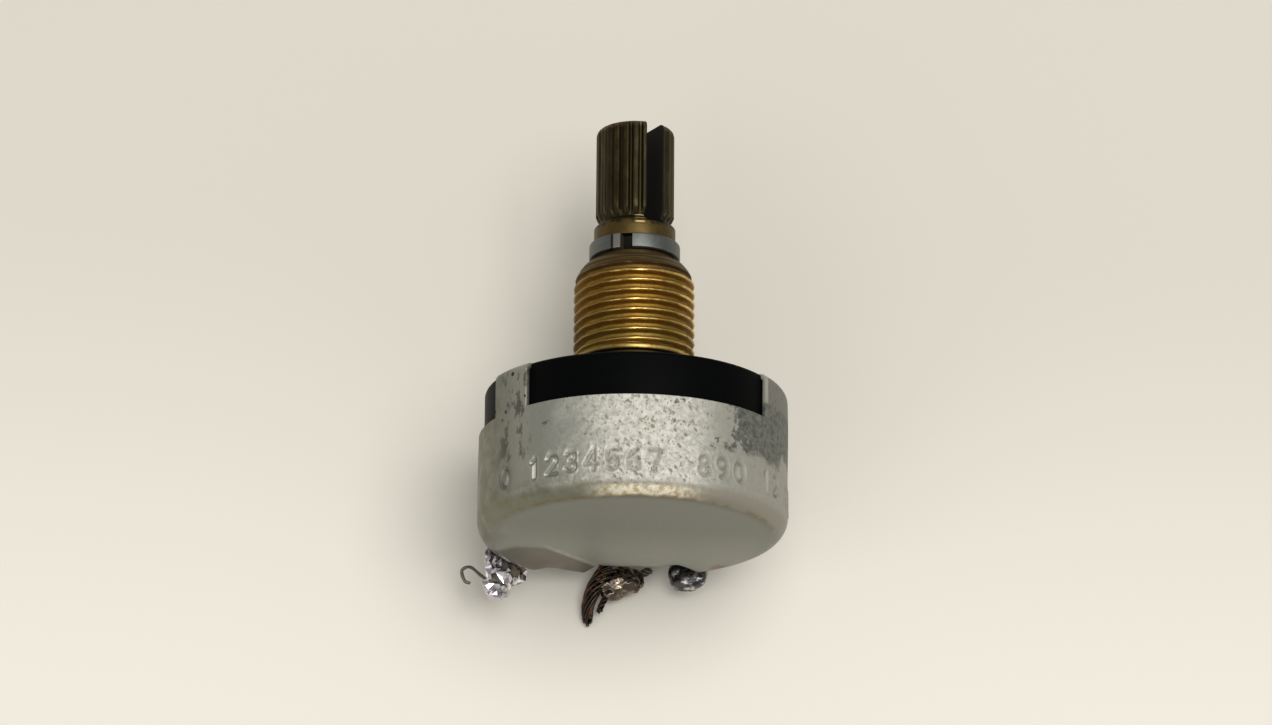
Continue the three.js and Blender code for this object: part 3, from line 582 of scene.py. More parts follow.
METALS = {
    "spring_steel": dict(low=(0.42, 0.43, 0.44), high=(0.55, 0.56, 0.57), roughness=0.3),
    "silver": dict(low=(0.50, 0.49, 0.46), high=(0.68, 0.67, 0.64), roughness=0.35, scale=5.0,
                   stain_and_painted_light=(0.2, 0.16, 0.1)),
    "tinned_brass": dict(low=(0.24, 0.235, 0.22), high=(0.40, 0.395, 0.37), roughness=0.4,
                         stain_and_painted_light=(0.16, 0.11, 0.05)),
    # The solders' stains are painted light: pale glints on the dull and burnt solder, and dark
    # reflections between the bright solder's facets.
    "dull_solder": dict(low=(0.035, 0.034, 0.034), high=(0.15, 0.148, 0.15), roughness=0.18,
                        scale=1.9, stain_and_painted_light=(0.80, 0.79, 0.79), bump=0.06),
    "burnt_solder": dict(low=(0.04, 0.033, 0.027), high=(0.27, 0.22, 0.18), roughness=0.17,
                         scale=1.6, stain_and_painted_light=(0.50, 0.40, 0.28), bump=0.05),
    "bright_solder": dict(low=(0.55, 0.51, 0.57), high=(1.0, 0.99, 1.0), roughness=0.12,
                          scale=1.1, stain_and_painted_light=(0.02, 0.015, 0.025), bump=0.0, sharpness=2.0),
    "tinned_wire": dict(low=(0.08, 0.07, 0.065), high=(0.22, 0.2, 0.18), roughness=0.35),
    "oxidised_copper": dict(low=(0.010, 0.008, 0.006), high=(0.085, 0.066, 0.05),
                            roughness=0.26, scale=1.6, stain_and_painted_light=(0.22, 0.09, 0.035)),
    "bronze": dict(low=(0.42, 0.27, 0.10), high=(0.56, 0.38, 0.17), roughness=0.35),
    "rivet_brass": dict(low=(0.45, 0.33, 0.13), high=(0.60, 0.45, 0.20), roughness=0.35),
}
MOULDINGS = {
    "brown_phenolic": dict(low=(0.075, 0.035, 0.014), high=(0.16, 0.085, 0.035),
                           roughness=0.55, layers=6.0),
    "carbon": dict(low=(0.008, 0.008, 0.009), high=(0.022, 0.022, 0.024), roughness=0.6,
                   scale=6.0),
}
MATERIALS = {
    "zinc_plated_steel": zinc_case(),
    "black_phenolic": black_phenolic(),
    "turned_brass": turned_brass(),
    "oxidised_brass": oxidised_brass(),
    "ring_steel": ring_steel(),
}
MATERIALS |= {name: plain_metal(name, **look) for name, look in METALS.items()}
MATERIALS |= {name: moulding(name, **look) for name, look in MOULDINGS.items()}


# --------------------------------------------------------------------------- mesh tools

SHARP_ANGLE = 38
TUBE_SIDES = 8
# how far a tube's end stands out, as a share of its radius
DOME = 0.4


def piece(name, points, faces, body, slot, stands_for, sharp=SHARP_ANGLE):
    """A mesh of the control's own axes as a piece that rides on a body."""
    mesh = bpy.data.meshes.new(name)
    mesh.from_pydata(to_row(points).tolist(), [], faces)
    tidy = bmesh.new()
    tidy.from_mesh(mesh)
    bmesh.ops.remove_doubles(tidy, verts=tidy.verts, dist=1e-8)
    bmesh.ops.recalc_face_normals(tidy, faces=tidy.faces)
    tidy.to_mesh(mesh)
    tidy.free()
    obj = add_object(name, mesh)
    mesh.materials.append(MATERIALS[slot])
    shade(mesh, sharp)
    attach(obj, body)
    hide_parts(*stands_for)
    return obj


def add_object(name, data):
    obj = bpy.data.objects.new(name, data)
    bpy.context.scene.collection.objects.link(obj)
    return obj


def shade(mesh, sharp):
    mesh.polygons.foreach_set("use_smooth", [True] * len(mesh.polygons))
    mesh.set_sharp_from_angle(angle=math.radians(sharp))


def settle(obj):
    """Makes an object's modifiers part of its mesh."""
    graph = bpy.context.evaluated_depsgraph_get()
    made = bpy.data.meshes.new_from_object(obj.evaluated_get(graph))
    obj.modifiers.clear()
    obj.data = made
    shade(made, SHARP_ANGLE)


def bridge(low, high, count):
    """Faces between two closed rows of points, of which low and high are the first ones."""
    pairs = [(k, (k + 1) % count) for k in range(count)]
    return [(low + k, low + after, high + after, high + k) for k, after in pairs]


def turned(radii, heights, bearings=None, closed=False):
    """Points and faces of a turned surface. radii and heights hold one row for each ring."""
    rows, columns = radii.shape
    if bearings is None:
        bearings = np.arange(columns) * 360 / columns
    angle = np.radians(bearings)
    points = np.stack((-radii * np.sin(angle), radii * np.cos(angle), heights), -1)
    faces = []
    for row in range(rows if closed else rows - 1):
        faces += bridge(row * columns, (row + 1) % rows * columns, columns)
    return points.reshape(-1, 3), faces


def rounded(corners, radius, steps=4, closed=True):
    """A profile whose corners are rounded off."""
    points = []
    count = len(corners)
    for index, corner in enumerate(corners):
        corner = np.array(corner, float)
        if not closed and index in (0, count - 1):
            points.append(tuple(corner))
            continue
        before = np.array(corners[index - 1], float) - corner
        after = np.array(corners[(index + 1) % count], float) - corner
        reach = min(radius, np.linalg.norm(before) / 2.1, np.linalg.norm(after) / 2.1)
        start = corner + before / np.linalg.norm(before) * reach
        end = corner + after / np.linalg.norm(after) * reach
        for step in range(steps + 1):
            share = step / steps
            pull = 2 * share * (1 - share)
            points.append(tuple((1 - share) ** 2 * start + pull * corner + share**2 * end))
    return points


def turn_about_shaft(points, degrees):
    cos, sin = math.cos(math.radians(degrees)), math.sin(math.radians(degrees))
    turn = np.array(((cos, -sin, 0), (sin, cos, 0), (0, 0, 1)))
    return np.asarray(points) @ turn.T


def curve_through(points, count):
    """A smooth path through points, Catmull-Rom, as count + 1 places."""
    points = np.asarray(points, float)
    ends = np.vstack((2 * points[0] - points[1], points, 2 * points[-1] - points[-2]))
    places = []
    for step in range(count + 1):
        at = step / count * (len(points) - 1)
        index = min(int(at), len(points) - 2)
        t = at - index
        a, b, c, d = ends[index:index + 4]
        square, cube = 2 * a - 5 * b + 4 * c - d, 3 * b - a - 3 * c + d
        places.append(0.5 * (2 * b + (c - a) * t + square * t**2 + cube * t**3))
    return np.array(places)


def frames_along(path):
    """Two directions across a path at each of its points, carried along without twist."""
    tangents = np.gradient(path, axis=0)
    tangents /= np.linalg.norm(tangents, axis=1)[:, None]
    across = np.cross(tangents[0], (0.3, 0.5, 0.8))
    sides = []
    for tangent in tangents:
        across = across - tangent * (across @ tangent)
        across /= np.linalg.norm(across)
        sides.append((across, np.cross(tangent, across)))
    return tangents, sides


def tube(path, radii):
    """Points and faces of a round tube with domed ends."""
    tangents, across = frames_along(path)
    points = []
    for place, (u, v), radius in zip(path, across, radii):
        for side in range(TUBE_SIDES):
            angle = 2 * math.pi * side / TUBE_SIDES
            points.append(place + (u * math.cos(angle) + v * math.sin(angle)) * radius)
    points.append(path[0] - tangents[0] * radii[0] * DOME)
    points.append(path[-1] + tangents[-1] * radii[-1] * DOME)
    faces = []
    for row in range(len(path) - 1):
        faces += bridge(row * TUBE_SIDES, (row + 1) * TUBE_SIDES, TUBE_SIDES)
    last, first_tip = (len(path) - 1) * TUBE_SIDES, len(path) * TUBE_SIDES
    for side in range(TUBE_SIDES):
        after = (side + 1) % TUBE_SIDES
        faces.append((after, side, first_tip))
        faces.append((last + side, last + after, first_tip + 1))
    return np.array(points), faces


def joined(parts):
    """Several meshes as one list of points and one of faces."""
    points, faces, start = [], [], 0
    for part_points, part_faces in parts:
        points.append(part_points)
        faces += [tuple(start + index for index in face) for face in part_faces]
        start += len(part_points)
    return np.vstack(points), faces


# --------------------------------------------------------------------------- case

FLAT_END = CASE_R - CASE_CORNER_R
WALL_START = FLAT_END + CASE_CORNER_R * math.pi / 2
BEND_START = WALL_START + (TAB_TOP - TAB_BEND_R) - (CASE_BACK + CASE_CORNER_R)
BEND_END = BEND_START + TAB_BEND_R * math.pi / 2
TAB_END = BEND_END + (CASE_R - TAB_BEND_R) - TAB_REACH_R


def station_of(height):
    """How far along the case's section a height on its wall lies, from the middle of the back."""
    return WALL_START + height - (CASE_BACK + CASE_CORNER_R)


def case_section(station):
    """Radius, height and outward normal of the case's outer face at each station."""
    s = np.asarray(station, float)
    corner = np.clip((s - FLAT_END) / CASE_CORNER_R, 0, math.pi / 2)
    bend = np.clip((s - BEND_START) / TAB_BEND_R, 0, math.pi / 2)
    radius = np.minimum(s, FLAT_END) + CASE_CORNER_R * np.sin(corner)
    radius = radius - TAB_BEND_R * (1 - np.cos(bend)) - np.maximum(s - BEND_END, 0)
    height = CASE_BACK + CASE_CORNER_R * (1 - np.cos(corner))
    height = height + np.clip(s - WALL_START, 0, BEND_START - WALL_START)
    height = height + TAB_BEND_R * np.sin(bend)
    out = np.where(s < WALL_START, np.sin(corner), np.cos(bend))
    up = np.where(s < WALL_START, -np.cos(corner), np.sin(bend))
    return radius, height, out, up


def arc(x, y, rx, ry, start, end):
    """Points along an arc of an ellipse, one at least every 18 degrees or so."""
    steps = max(3, int(abs(end - start) / 18))
    angles = np.radians(np.linspace(start, end, steps + 1))
    return [(x + rx * math.cos(a), y + ry * math.sin(a)) for a in angles]


# Strokes of the digits, in a box 1 wide and 1.6 high
DIGITS = {
    "0": [arc(0.5, 0.8, 0.4, 0.72, 0, 360)],
    "1": [[(0.28, 1.25), (0.55, 1.52), (0.55, 0.08)]],
    "2": [arc(0.5, 1.1, 0.38, 0.42, 165, -35) + [(0.1, 0.08), (0.92, 0.08)]],
    "3": [arc(0.46, 1.16, 0.34, 0.36, 150, -90), arc(0.46, 0.44, 0.4, 0.36, 90, -150)],
    "4": [[(0.68, 0.08), (0.68, 1.52), (0.06, 0.5), (0.95, 0.5)]],
    "5": [[(0.86, 1.52), (0.22, 1.52), (0.16, 0.86)] + arc(0.46, 0.5, 0.42, 0.44, 130, -145)],
    "6": [arc(0.5, 0.46, 0.38, 0.39, 0, 360), arc(0.82, 0.5, 0.7, 1.02, 180, 100)],
    "7": [[(0.1, 1.52), (0.9, 1.52), (0.38, 0.08)]],
    "8": [arc(0.5, 1.17, 0.32, 0.34, 0, 360), arc(0.5, 0.44, 0.4, 0.37, 0, 360)],
    "9": [arc(0.5, 1.14, 0.38, 0.39, 0, 360), arc(0.18, 1.1, 0.7, 1.02, 0, -80)],
}


def stroke_distance(points, stroke):
    """Distance of each point from a stroke, in the stroke's plane."""
    nearest = np.full(len(points), 9.0)
    for start, end in zip(stroke[:-1], stroke[1:]):
        start, along = np.array(start), np.array(end) - np.array(start)
        share = np.clip((points - start) @ along / (along @ along), 0, 1)
        off = points - start - share[:, None] * along
        nearest = np.minimum(nearest, np.linalg.norm(off, axis=1))
    return nearest


def stamping(bearings, heights):
    """How far the stamped digits push the wall in, at each bearing and height."""
    depth = np.zeros(bearings.shape)
    for first, text in STAMPED:
        for index, digit in enumerate(text):
            place = first + index * DIGIT_PITCH
            wobble = 0.07 * math.sin(place * 1.7)
            across = np.radians(bearings - place) * CASE_R / DIGIT_WIDTH
            up = (heights - DIGIT_FOOT - wobble) / DIGIT_WIDTH
            near = (across > -0.5) & (across < 1.5) & (up > -0.5) & (up < 2.1)
            points = np.column_stack((across[near], up[near]))
            off = np.min([stroke_distance(points, s) for s in DIGITS[digit]], axis=0)
            off = off * DIGIT_WIDTH / STROKE_HALF_WIDTH
            groove = STROKE_DEPTH * np.exp(-(off**2))
            lip = STROKE_LIP * np.exp(-(((off - 2.1) / 0.7) ** 2))
            depth[near] = np.maximum(depth[near], groove) - lip * (depth[near] < 0.02)
    return depth


def within(bearings, ranges, margin=0.0):
    """Which bearings lie in any of the ranges."""
    inside = [(bearings - low + margin) % 360 < high - low + 2 * margin for low, high in ranges]
    return np.any(inside, axis=0)


def case_columns():
    """Bearings of the case's columns: dense under the stamping and at the dent's crease, and
    exact at every cut edge."""
    columns = set(np.round(np.arange(-180, 180, 1.5), 3))
    columns |= set(np.round(np.arange(-66, 90, 0.3), 3))
    columns |= set(np.round(np.arange(-172, -158, 0.4), 3))
    edges = [(edge + 180) % 360 - 180 for cut in TABS + LUG_SLOTS for edge in cut]
    columns = {c for c in columns if min(abs(c - e) for e in edges) > 0.2}
    columns |= {round(e + d, 3) for e in edges for d in (-0.25, 0, 0.25)}
    return np.array(sorted(columns))


def case_rows():
    """Stations of the case's rows: those of its outer face, dense where it is stamped, and those
    of its inner face."""
    floor, rim = station_of(LUG_SLOT_FLOOR), station_of(CASE_RIM)
    rows = [*np.linspace(0, FLAT_END, 30), *np.linspace(FLAT_END, WALL_START, 13)[1:]]
    rows += [*np.linspace(WALL_START, floor, 14)[1:], floor + 0.1]
    rows += [*np.linspace(floor + 0.3, rim - 0.25, 5), rim - 0.08, rim, rim + 0.08]
    rows += [*np.linspace(rim + 0.3, BEND_START, 8), *np.linspace(BEND_START, BEND_END, 7)[1:]]
    rows += [*np.linspace(BEND_END, TAB_END - 0.1, 5)[1:], TAB_END]
    stamped = list(np.arange(WALL_START - 0.45, WALL_START + 1.85, 0.06))
    fine = [r for r in rows if not stamped[0] - 0.05 < r < stamped[-1] + 0.05] + stamped
    return np.array(sorted(fine)), np.array(sorted(rows))


def case_cells(rows, columns):
    """Which cells of the case's grid are metal."""
    middle_row = (rows[1:] + rows[:-1]) / 2
    middle_column = columns + ((np.roll(columns, -1) - columns) % 360) / 2
    tab = within(middle_column, TABS)
    slot = within(middle_column, LUG_SLOTS)
    below_slot = (middle_row < station_of(LUG_SLOT_FLOOR))[:, None]
    below_rim = (middle_row < station_of(CASE_RIM))[:, None]
    return below_slot | (below_rim & ~slot[None, :]) | (~below_rim & tab[None, :])


def dent(x, y):
    """How far the struck edge is pushed towards the shaft, at each place seen from the back."""
    bearing = np.degrees(np.arctan2(-x, y)) % 360
    rise, full, hold, crease = DENT_BEARINGS
    deep = smoothstep(rise, full, bearing) * smoothstep(crease, hold, bearing)
    deep = deep * DENT_DEPTH * smoothstep(*DENT_RADII, np.hypot(x, y))
    low, high = np.array(FACET_LINE)
    along = (high - low) / np.linalg.norm(high - low)
    beyond = (x - low[0]) * along[1] - (y - low[1]) * along[0]
    facet = FACET_SLOPE * FOLD_WIDTH * np.log1p(np.exp(np.clip(beyond / FOLD_WIDTH, -30, 30)))
    rise, full, hold, end = FACET_BEARINGS
    facet = facet * smoothstep(rise, full, bearing) * smoothstep(end, hold, bearing)
    rise, full, hold, end = SWELL_BEARINGS
    swell = SWELL * smoothstep(rise, full, bearing) * smoothstep(end, hold, bearing)
    return deep + facet - swell * smoothstep(*SWELL_RADII, np.hypot(x, y))


def case_points(rows, columns, inset):
    """The case's outer face, or its inner face where inset is the sheet's thickness."""
    bearings, stations = np.meshgrid(columns, rows)
    radius, height, out, up = case_section(stations)
    angle = np.radians(bearings)
    waves = 0.02 * np.sin(3 * angle + 0.6 * height)
    waves = waves + 0.012 * np.sin(7 * angle - 0.9 * height + 1.0)
    push = inset - waves * smoothstep(FLAT_END, WALL_START, stations)
    if inset == 0:
        push = push + stamping(bearings, height)
    radius = radius - out * push
    height = height - up * push
    x, y = -radius * np.sin(angle), radius * np.cos(angle)
    low = smoothstep(CASE_BACK + 3.4, CASE_BACK + 0.5, height)
    height = height + dent(x, y) * low
    return np.stack((x, y, height), -1)


def cell_corners(row, column, width):
    """The corners of a cell of the case's grid, in order."""
    after = (column + 1) % width
    return [(row, column), (row, after), (row + 1, after), (row + 1, column)]


def cut_edges(metal, width):
    """Edges of the case's grid with metal on one side only: two corners, and the metal's cell."""
    users = {}
    for row, column in zip(*np.nonzero(metal)):
        loop = cell_corners(row, column, width)
        for edge in zip(loop, loop[1:] + loop[:1]):
            users.setdefault(frozenset(edge), []).append((row, column))
    return [(*sorted(edge), cells[0]) for edge, cells in users.items() if len(cells) == 1]


def case_can():
    """The drawn case: an outer face, an inner face and a rounded lip along every cut edge."""
    columns = case_columns()
    width = len(columns)
    outer_rows, inner_rows = case_rows()
    outer = case_points(outer_rows, columns, 0.0).reshape(-1, 3)
    inner = case_points(inner_rows, columns, SHEET).reshape(-1, 3)
    points = [*outer, *inner]
    faces = []
    outer_cells = case_cells(outer_rows, columns)
    for row, column in zip(*np.nonzero(outer_cells)):
        corners = reversed(cell_corners(row, column, width))
        faces.append(tuple(r * width + c for r, c in corners))
    for row, column in zip(*np.nonzero(case_cells(inner_rows, columns))):
        corners = cell_corners(row, column, width)
        faces.append(tuple(len(outer) + r * width + c for r, c in corners))
    inner_row = {round(float(s), 4): len(outer_rows) + k for k, s in enumerate(inner_rows)}
    partners = [inner_row.get(round(float(station), 4)) for station in outer_rows]
    add_lips(points, faces, cut_edges(outer_cells, width), partners, width)
    used = sorted({index for face in faces for index in face})
    number = {index: k for k, index in enumerate(used)}
    faces = [tuple(number[index] for index in face) for face in faces]
    return piece("case_shell", np.array(points)[used], faces, "housing", "zinc_plated_steel",
                 ["case_can"], sharp=50)


def add_lips(points, faces, edges, partners, width):
    """Joins the case's two faces along the cut edges. partners holds, for each row of the outer
    face, the row of the inner face under it."""
    lips, ways = {}, {}

    def lip(corner):
        """Four points across the sheet, from its outer to its inner face."""
        if corner not in lips:
            row, column = corner
            outer, inner = row * width + column, partners[row] * width + column
            across = points[inner] - points[outer]
            lips[corner] = (outer, len(points), len(points) + 1, inner)
            points.extend([points[outer] + across * share for share in (0.2, 0.8)])
        return lips[corner]

    for a, b, (row, column) in edges:
        if a[0] == b[0] == 0:
            continue
        first, second = lip(a), lip(b)
        run = points[second[0]] - points[first[0]]
        away = np.cross(run, points[first[0]] - points[first[3]])
        away /= np.linalg.norm(away)
        middle = (points[first[0]] + points[second[0]]) / 2
        opposite = (row + 1) * width + (column + 1) % width
        centre = (points[row * width + column] + points[opposite]) / 2
        if away @ (middle - centre) < 0:
            away = -away
        for corner in (a, b):
            ways.setdefault(corner, []).append(away)
        faces += [(first[k], second[k], second[k + 1], first[k + 1]) for k in range(3)]
    for corner, directions in ways.items():
        for index in lips[corner][1:3]:
            points[index] = points[index] + np.mean(directions, axis=0) * LIP_BULGE


# --------------------------------------------------------------------------- base and bushing


def base_plate():
    """The moulding: a rounded front edge, and a shallow seat for each folded tab."""
    edges = [edge for low, high in TABS for edge in (low - TAB_SEAT_MARGIN, high + TAB_SEAT_MARGIN)]
    steps = {round(edge + side, 3) for edge in edges for side in (-0.1, 0.1)}
    columns = np.array(sorted({*np.round(np.arange(-180, 180, 2.0), 3), *steps}))
    seat = within(columns, TABS, TAB_SEAT_MARGIN) * (SHEET + 0.03)
    turn = arc(BASE_R - BASE_EDGE_R, BASE_FRONT - BASE_EDGE_R, BASE_EDGE_R, BASE_EDGE_R, 90, 0)
    (ring_start, ring_end), sunk = BASE_FACE_RING, BASE_FRONT - BASE_FACE_DEPTH
    front = [(BASE_HOLE_R, BASE_FRONT), (ring_start, BASE_FRONT), (ring_start + 0.1, sunk),
             (ring_end - 0.1, sunk), (ring_end, BASE_FRONT),
             (TAB_REACH_R - 0.15, BASE_FRONT), (TAB_REACH_R - 0.1, BASE_FRONT)]
    seat_r, seat_depth = BASE_SEAT
    rear = [(BASE_R, BASE_BOTTOM), (BASE_SKIRT_R, BASE_BOTTOM), (BASE_SKIRT_R, BASE_REAR),
            (seat_r, BASE_REAR), (seat_r, BASE_REAR + seat_depth),
            (BASE_HOLE_R, BASE_REAR + seat_depth)]
    profile = np.array(front + turn + rear)
    lowered = np.zeros(len(profile))
    lowered[len(front) - 1:len(front) + len(turn)] = 1
    radii = profile[:, :1] + 0 * columns
    heights = profile[:, 1:] - lowered[:, None] * seat
    points, faces = turned(radii, heights, columns, closed=True)
    return piece("base_moulding", points, faces, "housing", "black_phenolic", ["base_plate"],
                 sharp=34)


def nose_radius(height):
    """How wide the barrel may be: it narrows towards its tip."""
    rise = np.clip((height - (BUSHING_TOP - NOSE_LENGTH)) / NOSE_LENGTH, 0, 1)
    return THREAD_CREST_R + (NOSE_R - THREAD_CREST_R) * rise**2.2


def thread_radius(bearings, heights):
    """The threaded barrel: crests one pitch apart, climbing one pitch for each turn. One of them
    faces the camera at the height FIRST_CREST."""
    phase = (heights - FIRST_CREST) / THREAD_PITCH - (bearings + CAMERA_SWING) / 360
    off_crest = np.abs((phase + 0.5) % 1 - 0.5)
    groove = smoothstep(0.04, 0.38, off_crest)
    cut = smoothstep(THREAD_START, THREAD_START + 0.4, heights)
    radius = THREAD_CREST_R - (THREAD_CREST_R - THREAD_ROOT_R) * groove * cut
    radius = radius - (THREAD_CREST_R - RELIEF_R) * smoothstep(1.5, 1.35, heights)
    return np.minimum(radius, nose_radius(heights))


def bushing():
    bearings = np.arange(180) * 2.0
    spread_r, spread = BUSHING_SPREAD
    foot = rounded([(BORE_R, BASE_REAR), (spread_r, BASE_REAR), (spread_r, BASE_REAR + spread),
                    (BUSHING_FOOT_R, BASE_REAR + spread), (BUSHING_FOOT_R, BASE_FRONT),
                    (FLANGE_R, BASE_FRONT), (FLANGE_R, 0), (SEAT_INNER_R, 0), (RELIEF_R, 0)],
                   0.12, 3, closed=False)
    mouth = [(NOSE_R - 0.12, BUSHING_TOP), (BORE_R + 0.25, BUSHING_TOP),
             (BORE_R, BUSHING_TOP - 0.25), (BORE_R, BASE_REAR + 0.5)]
    barrel = np.arange(0.05, BUSHING_TOP - 0.03, THREAD_PITCH / 15)
    heights = np.array([z for _, z in foot] + [*barrel] + [z for _, z in mouth])[:, None]
    heights = heights + 0 * bearings
    radii = np.vstack([np.full((1, len(bearings)), r) for r, _ in foot]
                      + [thread_radius(bearings[None, :], heights[len(foot):-len(mouth)])]
                      + [np.full((1, len(bearings)), r) for r, _ in mouth])
    points, faces = turned(radii, heights, closed=True)
    return piece("threaded_bushing", points, faces, "housing", "turned_brass", ["bushing"],
                 sharp=40)


# --------------------------------------------------------------------------- shaft and ring


def spline_radius(bearings):
    """Radius of the rolled splines: narrow grooves between flat-topped teeth."""
    share = (bearings * SPLINE_COUNT / 360) % 1
    off_groove = np.abs(share - 0.5)
    return SPLINE_TIP_R - (SPLINE_TIP_R - SPLINE_ROOT_R) * smoothstep(0.30, 0.06, off_groove)


def drive_radius(bearings):
    """The end that keys into the rotor, with a flat on two sides."""
    flats = DRIVE_FLAT / np.maximum(np.abs(np.sin(np.radians(bearings))), 0.05)
    return np.minimum(DRIVE_R, flats)


def shaft():
    columns = SPLINE_COUNT * 12
    bearings = np.arange(columns) * 360 / columns
    step = BASE_REAR - 0.95
    groove = [(SHAFT_R, RING_LOW - 0.05), (RING_GROOVE_R, RING_LOW - 0.04),
              (RING_GROOVE_R, RING_HIGH + 0.04), (SHAFT_R, RING_HIGH + 0.05)]
    under_disc = DISC_REAR - 0.02
    head = rounded([(0, SHAFT_REAR), (HEAD_FACE_R, SHAFT_REAR), (HEAD_R, under_disc),
                    (DRIVE_R, under_disc)], 0.15, 3, closed=False)
    barrel = rounded([(DRIVE_R, step), (SHAFT_R, step), *groove, (SHAFT_R, COLLAR_TOP),
                      (NECK_R, SPLINE_START - 0.06), (NECK_R, SPLINE_START)],
                     0.06, 2, closed=False)
    rows_r, rows_z = [], []

    def ring(radius, height):
        rows_r.append(radius + 0 * bearings)
        rows_z.append(height + 0 * bearings)

    for radius, height in head:
        ring(radius, height)
    drive = drive_radius(bearings)
    ring(drive, DISC_REAR)
    ring(drive, step - 0.02)
    for radius, height in barrel:
        ring(radius, height)
    teeth = spline_radius(bearings)
    for share in np.linspace(0, 1, 6):
        ring(NECK_R + (np.maximum(teeth, NECK_R) - NECK_R) * share**0.8, SPLINE_START + 0.6 * share)
    for height in np.linspace(SPLINE_START + 1.2, SHAFT_TIP - 0.7, 8):
        ring(teeth, height)
    for angle in np.linspace(0, math.pi / 2, 7):
        inwards, down = TIP_R * (1 - math.cos(angle)), TIP_R * (1 - math.sin(angle))
        ring(np.minimum(teeth, SPLINE_TIP_R - inwards), SHAFT_TIP - down)
    ring(1.5, SHAFT_TIP)
    ring(0, SHAFT_TIP)
    points, faces = turned(np.array(rows_r), np.array(rows_z))
    points = turn_about_shaft(points, REST_BEARING)
    obj = piece("splined_shaft", points, faces, "rotor", "oxidised_brass", ["shaft"])
    cut_slot(obj)
    return obj


def block(low, high, degrees):
    """A closed box between two corners, turned about the shaft."""
    x, y, z = zip(low, high)
    points = [(x[i], y[j], z[k]) for k in (0, 1) for j in (0, 1) for i in (0, 1)]
    faces = [(0, 2, 3, 1), (4, 5, 7, 6), (0, 1, 5, 4), (2, 6, 7, 3), (0, 4, 6, 2), (1, 3, 7, 5)]
    return turn_about_shaft(points, degrees), faces


def cut_slot(obj):
    """Saws the slot down the middle of the splined end."""
    low, high = (-SLOT_WIDTH / 2, -9, SLOT_FLOOR), (SLOT_WIDTH / 2, 9, SHAFT_TIP + 2)
    points, faces = block(low, high, REST_BEARING)
    mesh = bpy.data.meshes.new("slot_saw")
    mesh.from_pydata(to_row(points).tolist(), [], faces)
    saw = add_object("slot_saw", mesh)
    cut = obj.modifiers.new("slot", "BOOLEAN")
    cut.operation, cut.object, cut.solver = "DIFFERENCE", saw, "EXACT"
    settle(obj)
    obj.data.materials.clear()
    obj.data.materials.append(MATERIALS["oxidised_brass"])
    bpy.data.objects.remove(saw)


def retaining_ring():
    """A split ring of rounded section; the gap is on one side."""
    section = rounded([(RING_INNER_R, RING_LOW), (RING_R, RING_LOW),
                       (RING_R, RING_HIGH), (RING_INNER_R, RING_HIGH)], 0.14, 4)
    gap_half = math.degrees(RING_GAP / 2 / RING_MIDDLE_R)
    start = REST_BEARING + RING_GAP_BEARING + gap_half
    end = REST_BEARING + RING_GAP_BEARING + 360 - gap_half
    steps = 120
    points, faces = [], []
    for step in range(steps + 1):
        bearing = start + (end - start) * step / steps
        points += [direction(bearing) * r + np.array((0, 0, z)) for r, z in section]
    width = len(section)
    for step in range(steps):
        faces += bridge(step * width, (step + 1) * width, width)
    faces.append(tuple(range(width)))
    faces.append(tuple(steps * width + side for side in reversed(range(width))))
    return piece("snap_ring", points, faces, "rotor", "ring_steel", ["retaining_ring"], sharp=40)


# --------------------------------------------------------------------------- solder and wire ends


def lump(name, number, balls, slot, stands_for, voxel, crumple, grain, facets=None):
    """Solder grown from balls around a lug's end: each has a place, given sideways, outwards and
    up from the end of the lug, and three half sizes along the same directions. facets is the
    share of the fine surface's faces that is left, for solder that has set like crumpled foil."""
    bearing = TERMINALS[number][0]
    side, out = direction(bearing + 90), direction(bearing)
    end = lug_end(number)
    turn = np.array((side, out, (0, 0, 1)))
    grown = bmesh.new()
    for place, size in balls:
        made = bmesh.ops.create_icosphere(grown, subdivisions=4, radius=1.0)["verts"]
        for vertex in made:
            own = np.array(vertex.co) * size + place
            vertex.co = Vector(to_row(own @ turn + end)[0])
    mesh = bpy.data.meshes.new(name)
    grown.to_mesh(mesh)
    grown.free()
    obj = add_object(name, mesh)
    fuse = obj.modifiers.new("fuse", "REMESH")
    fuse.mode, fuse.voxel_size = "VOXEL", voxel * MM
    soften = obj.modifiers.new("soften", "SMOOTH")
    soften.factor, soften.iterations = 0.6, 4
    settle(obj)
    mesh = obj.data
    normals = np.array([v.normal for v in mesh.vertices])
    for vertex, normal in zip(mesh.vertices, normals):
        at = vertex.co / MM
        rough = noise.ridged_multi_fractal(at * grain, 1.0, 2.1, 3, 1.0, 2.0) - 1.1
        rough += 0.6 * noise.noise(at * grain * 2.3)
        vertex.co += Vector(normal) * float(np.clip(rough, -1.4, 1.4)) * crumple * MM
    if facets:
        fewer = obj.modifiers.new("facets", "DECIMATE")
        fewer.ratio = facets
        settle(obj)
        mesh = obj.data
    mesh.materials.clear()
    mesh.materials.append(MATERIALS[slot])
    shade(mesh, 12 if facets else 60)
    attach(obj, "housing")
    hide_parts(*stands_for)
    return obj


def wire_path(number, path, steps):
    bearing = TERMINALS[number][0]
    end = lug_end(number)
    return curve_through([beside(bearing, o, s, u) + end for s, o, u in path], steps)


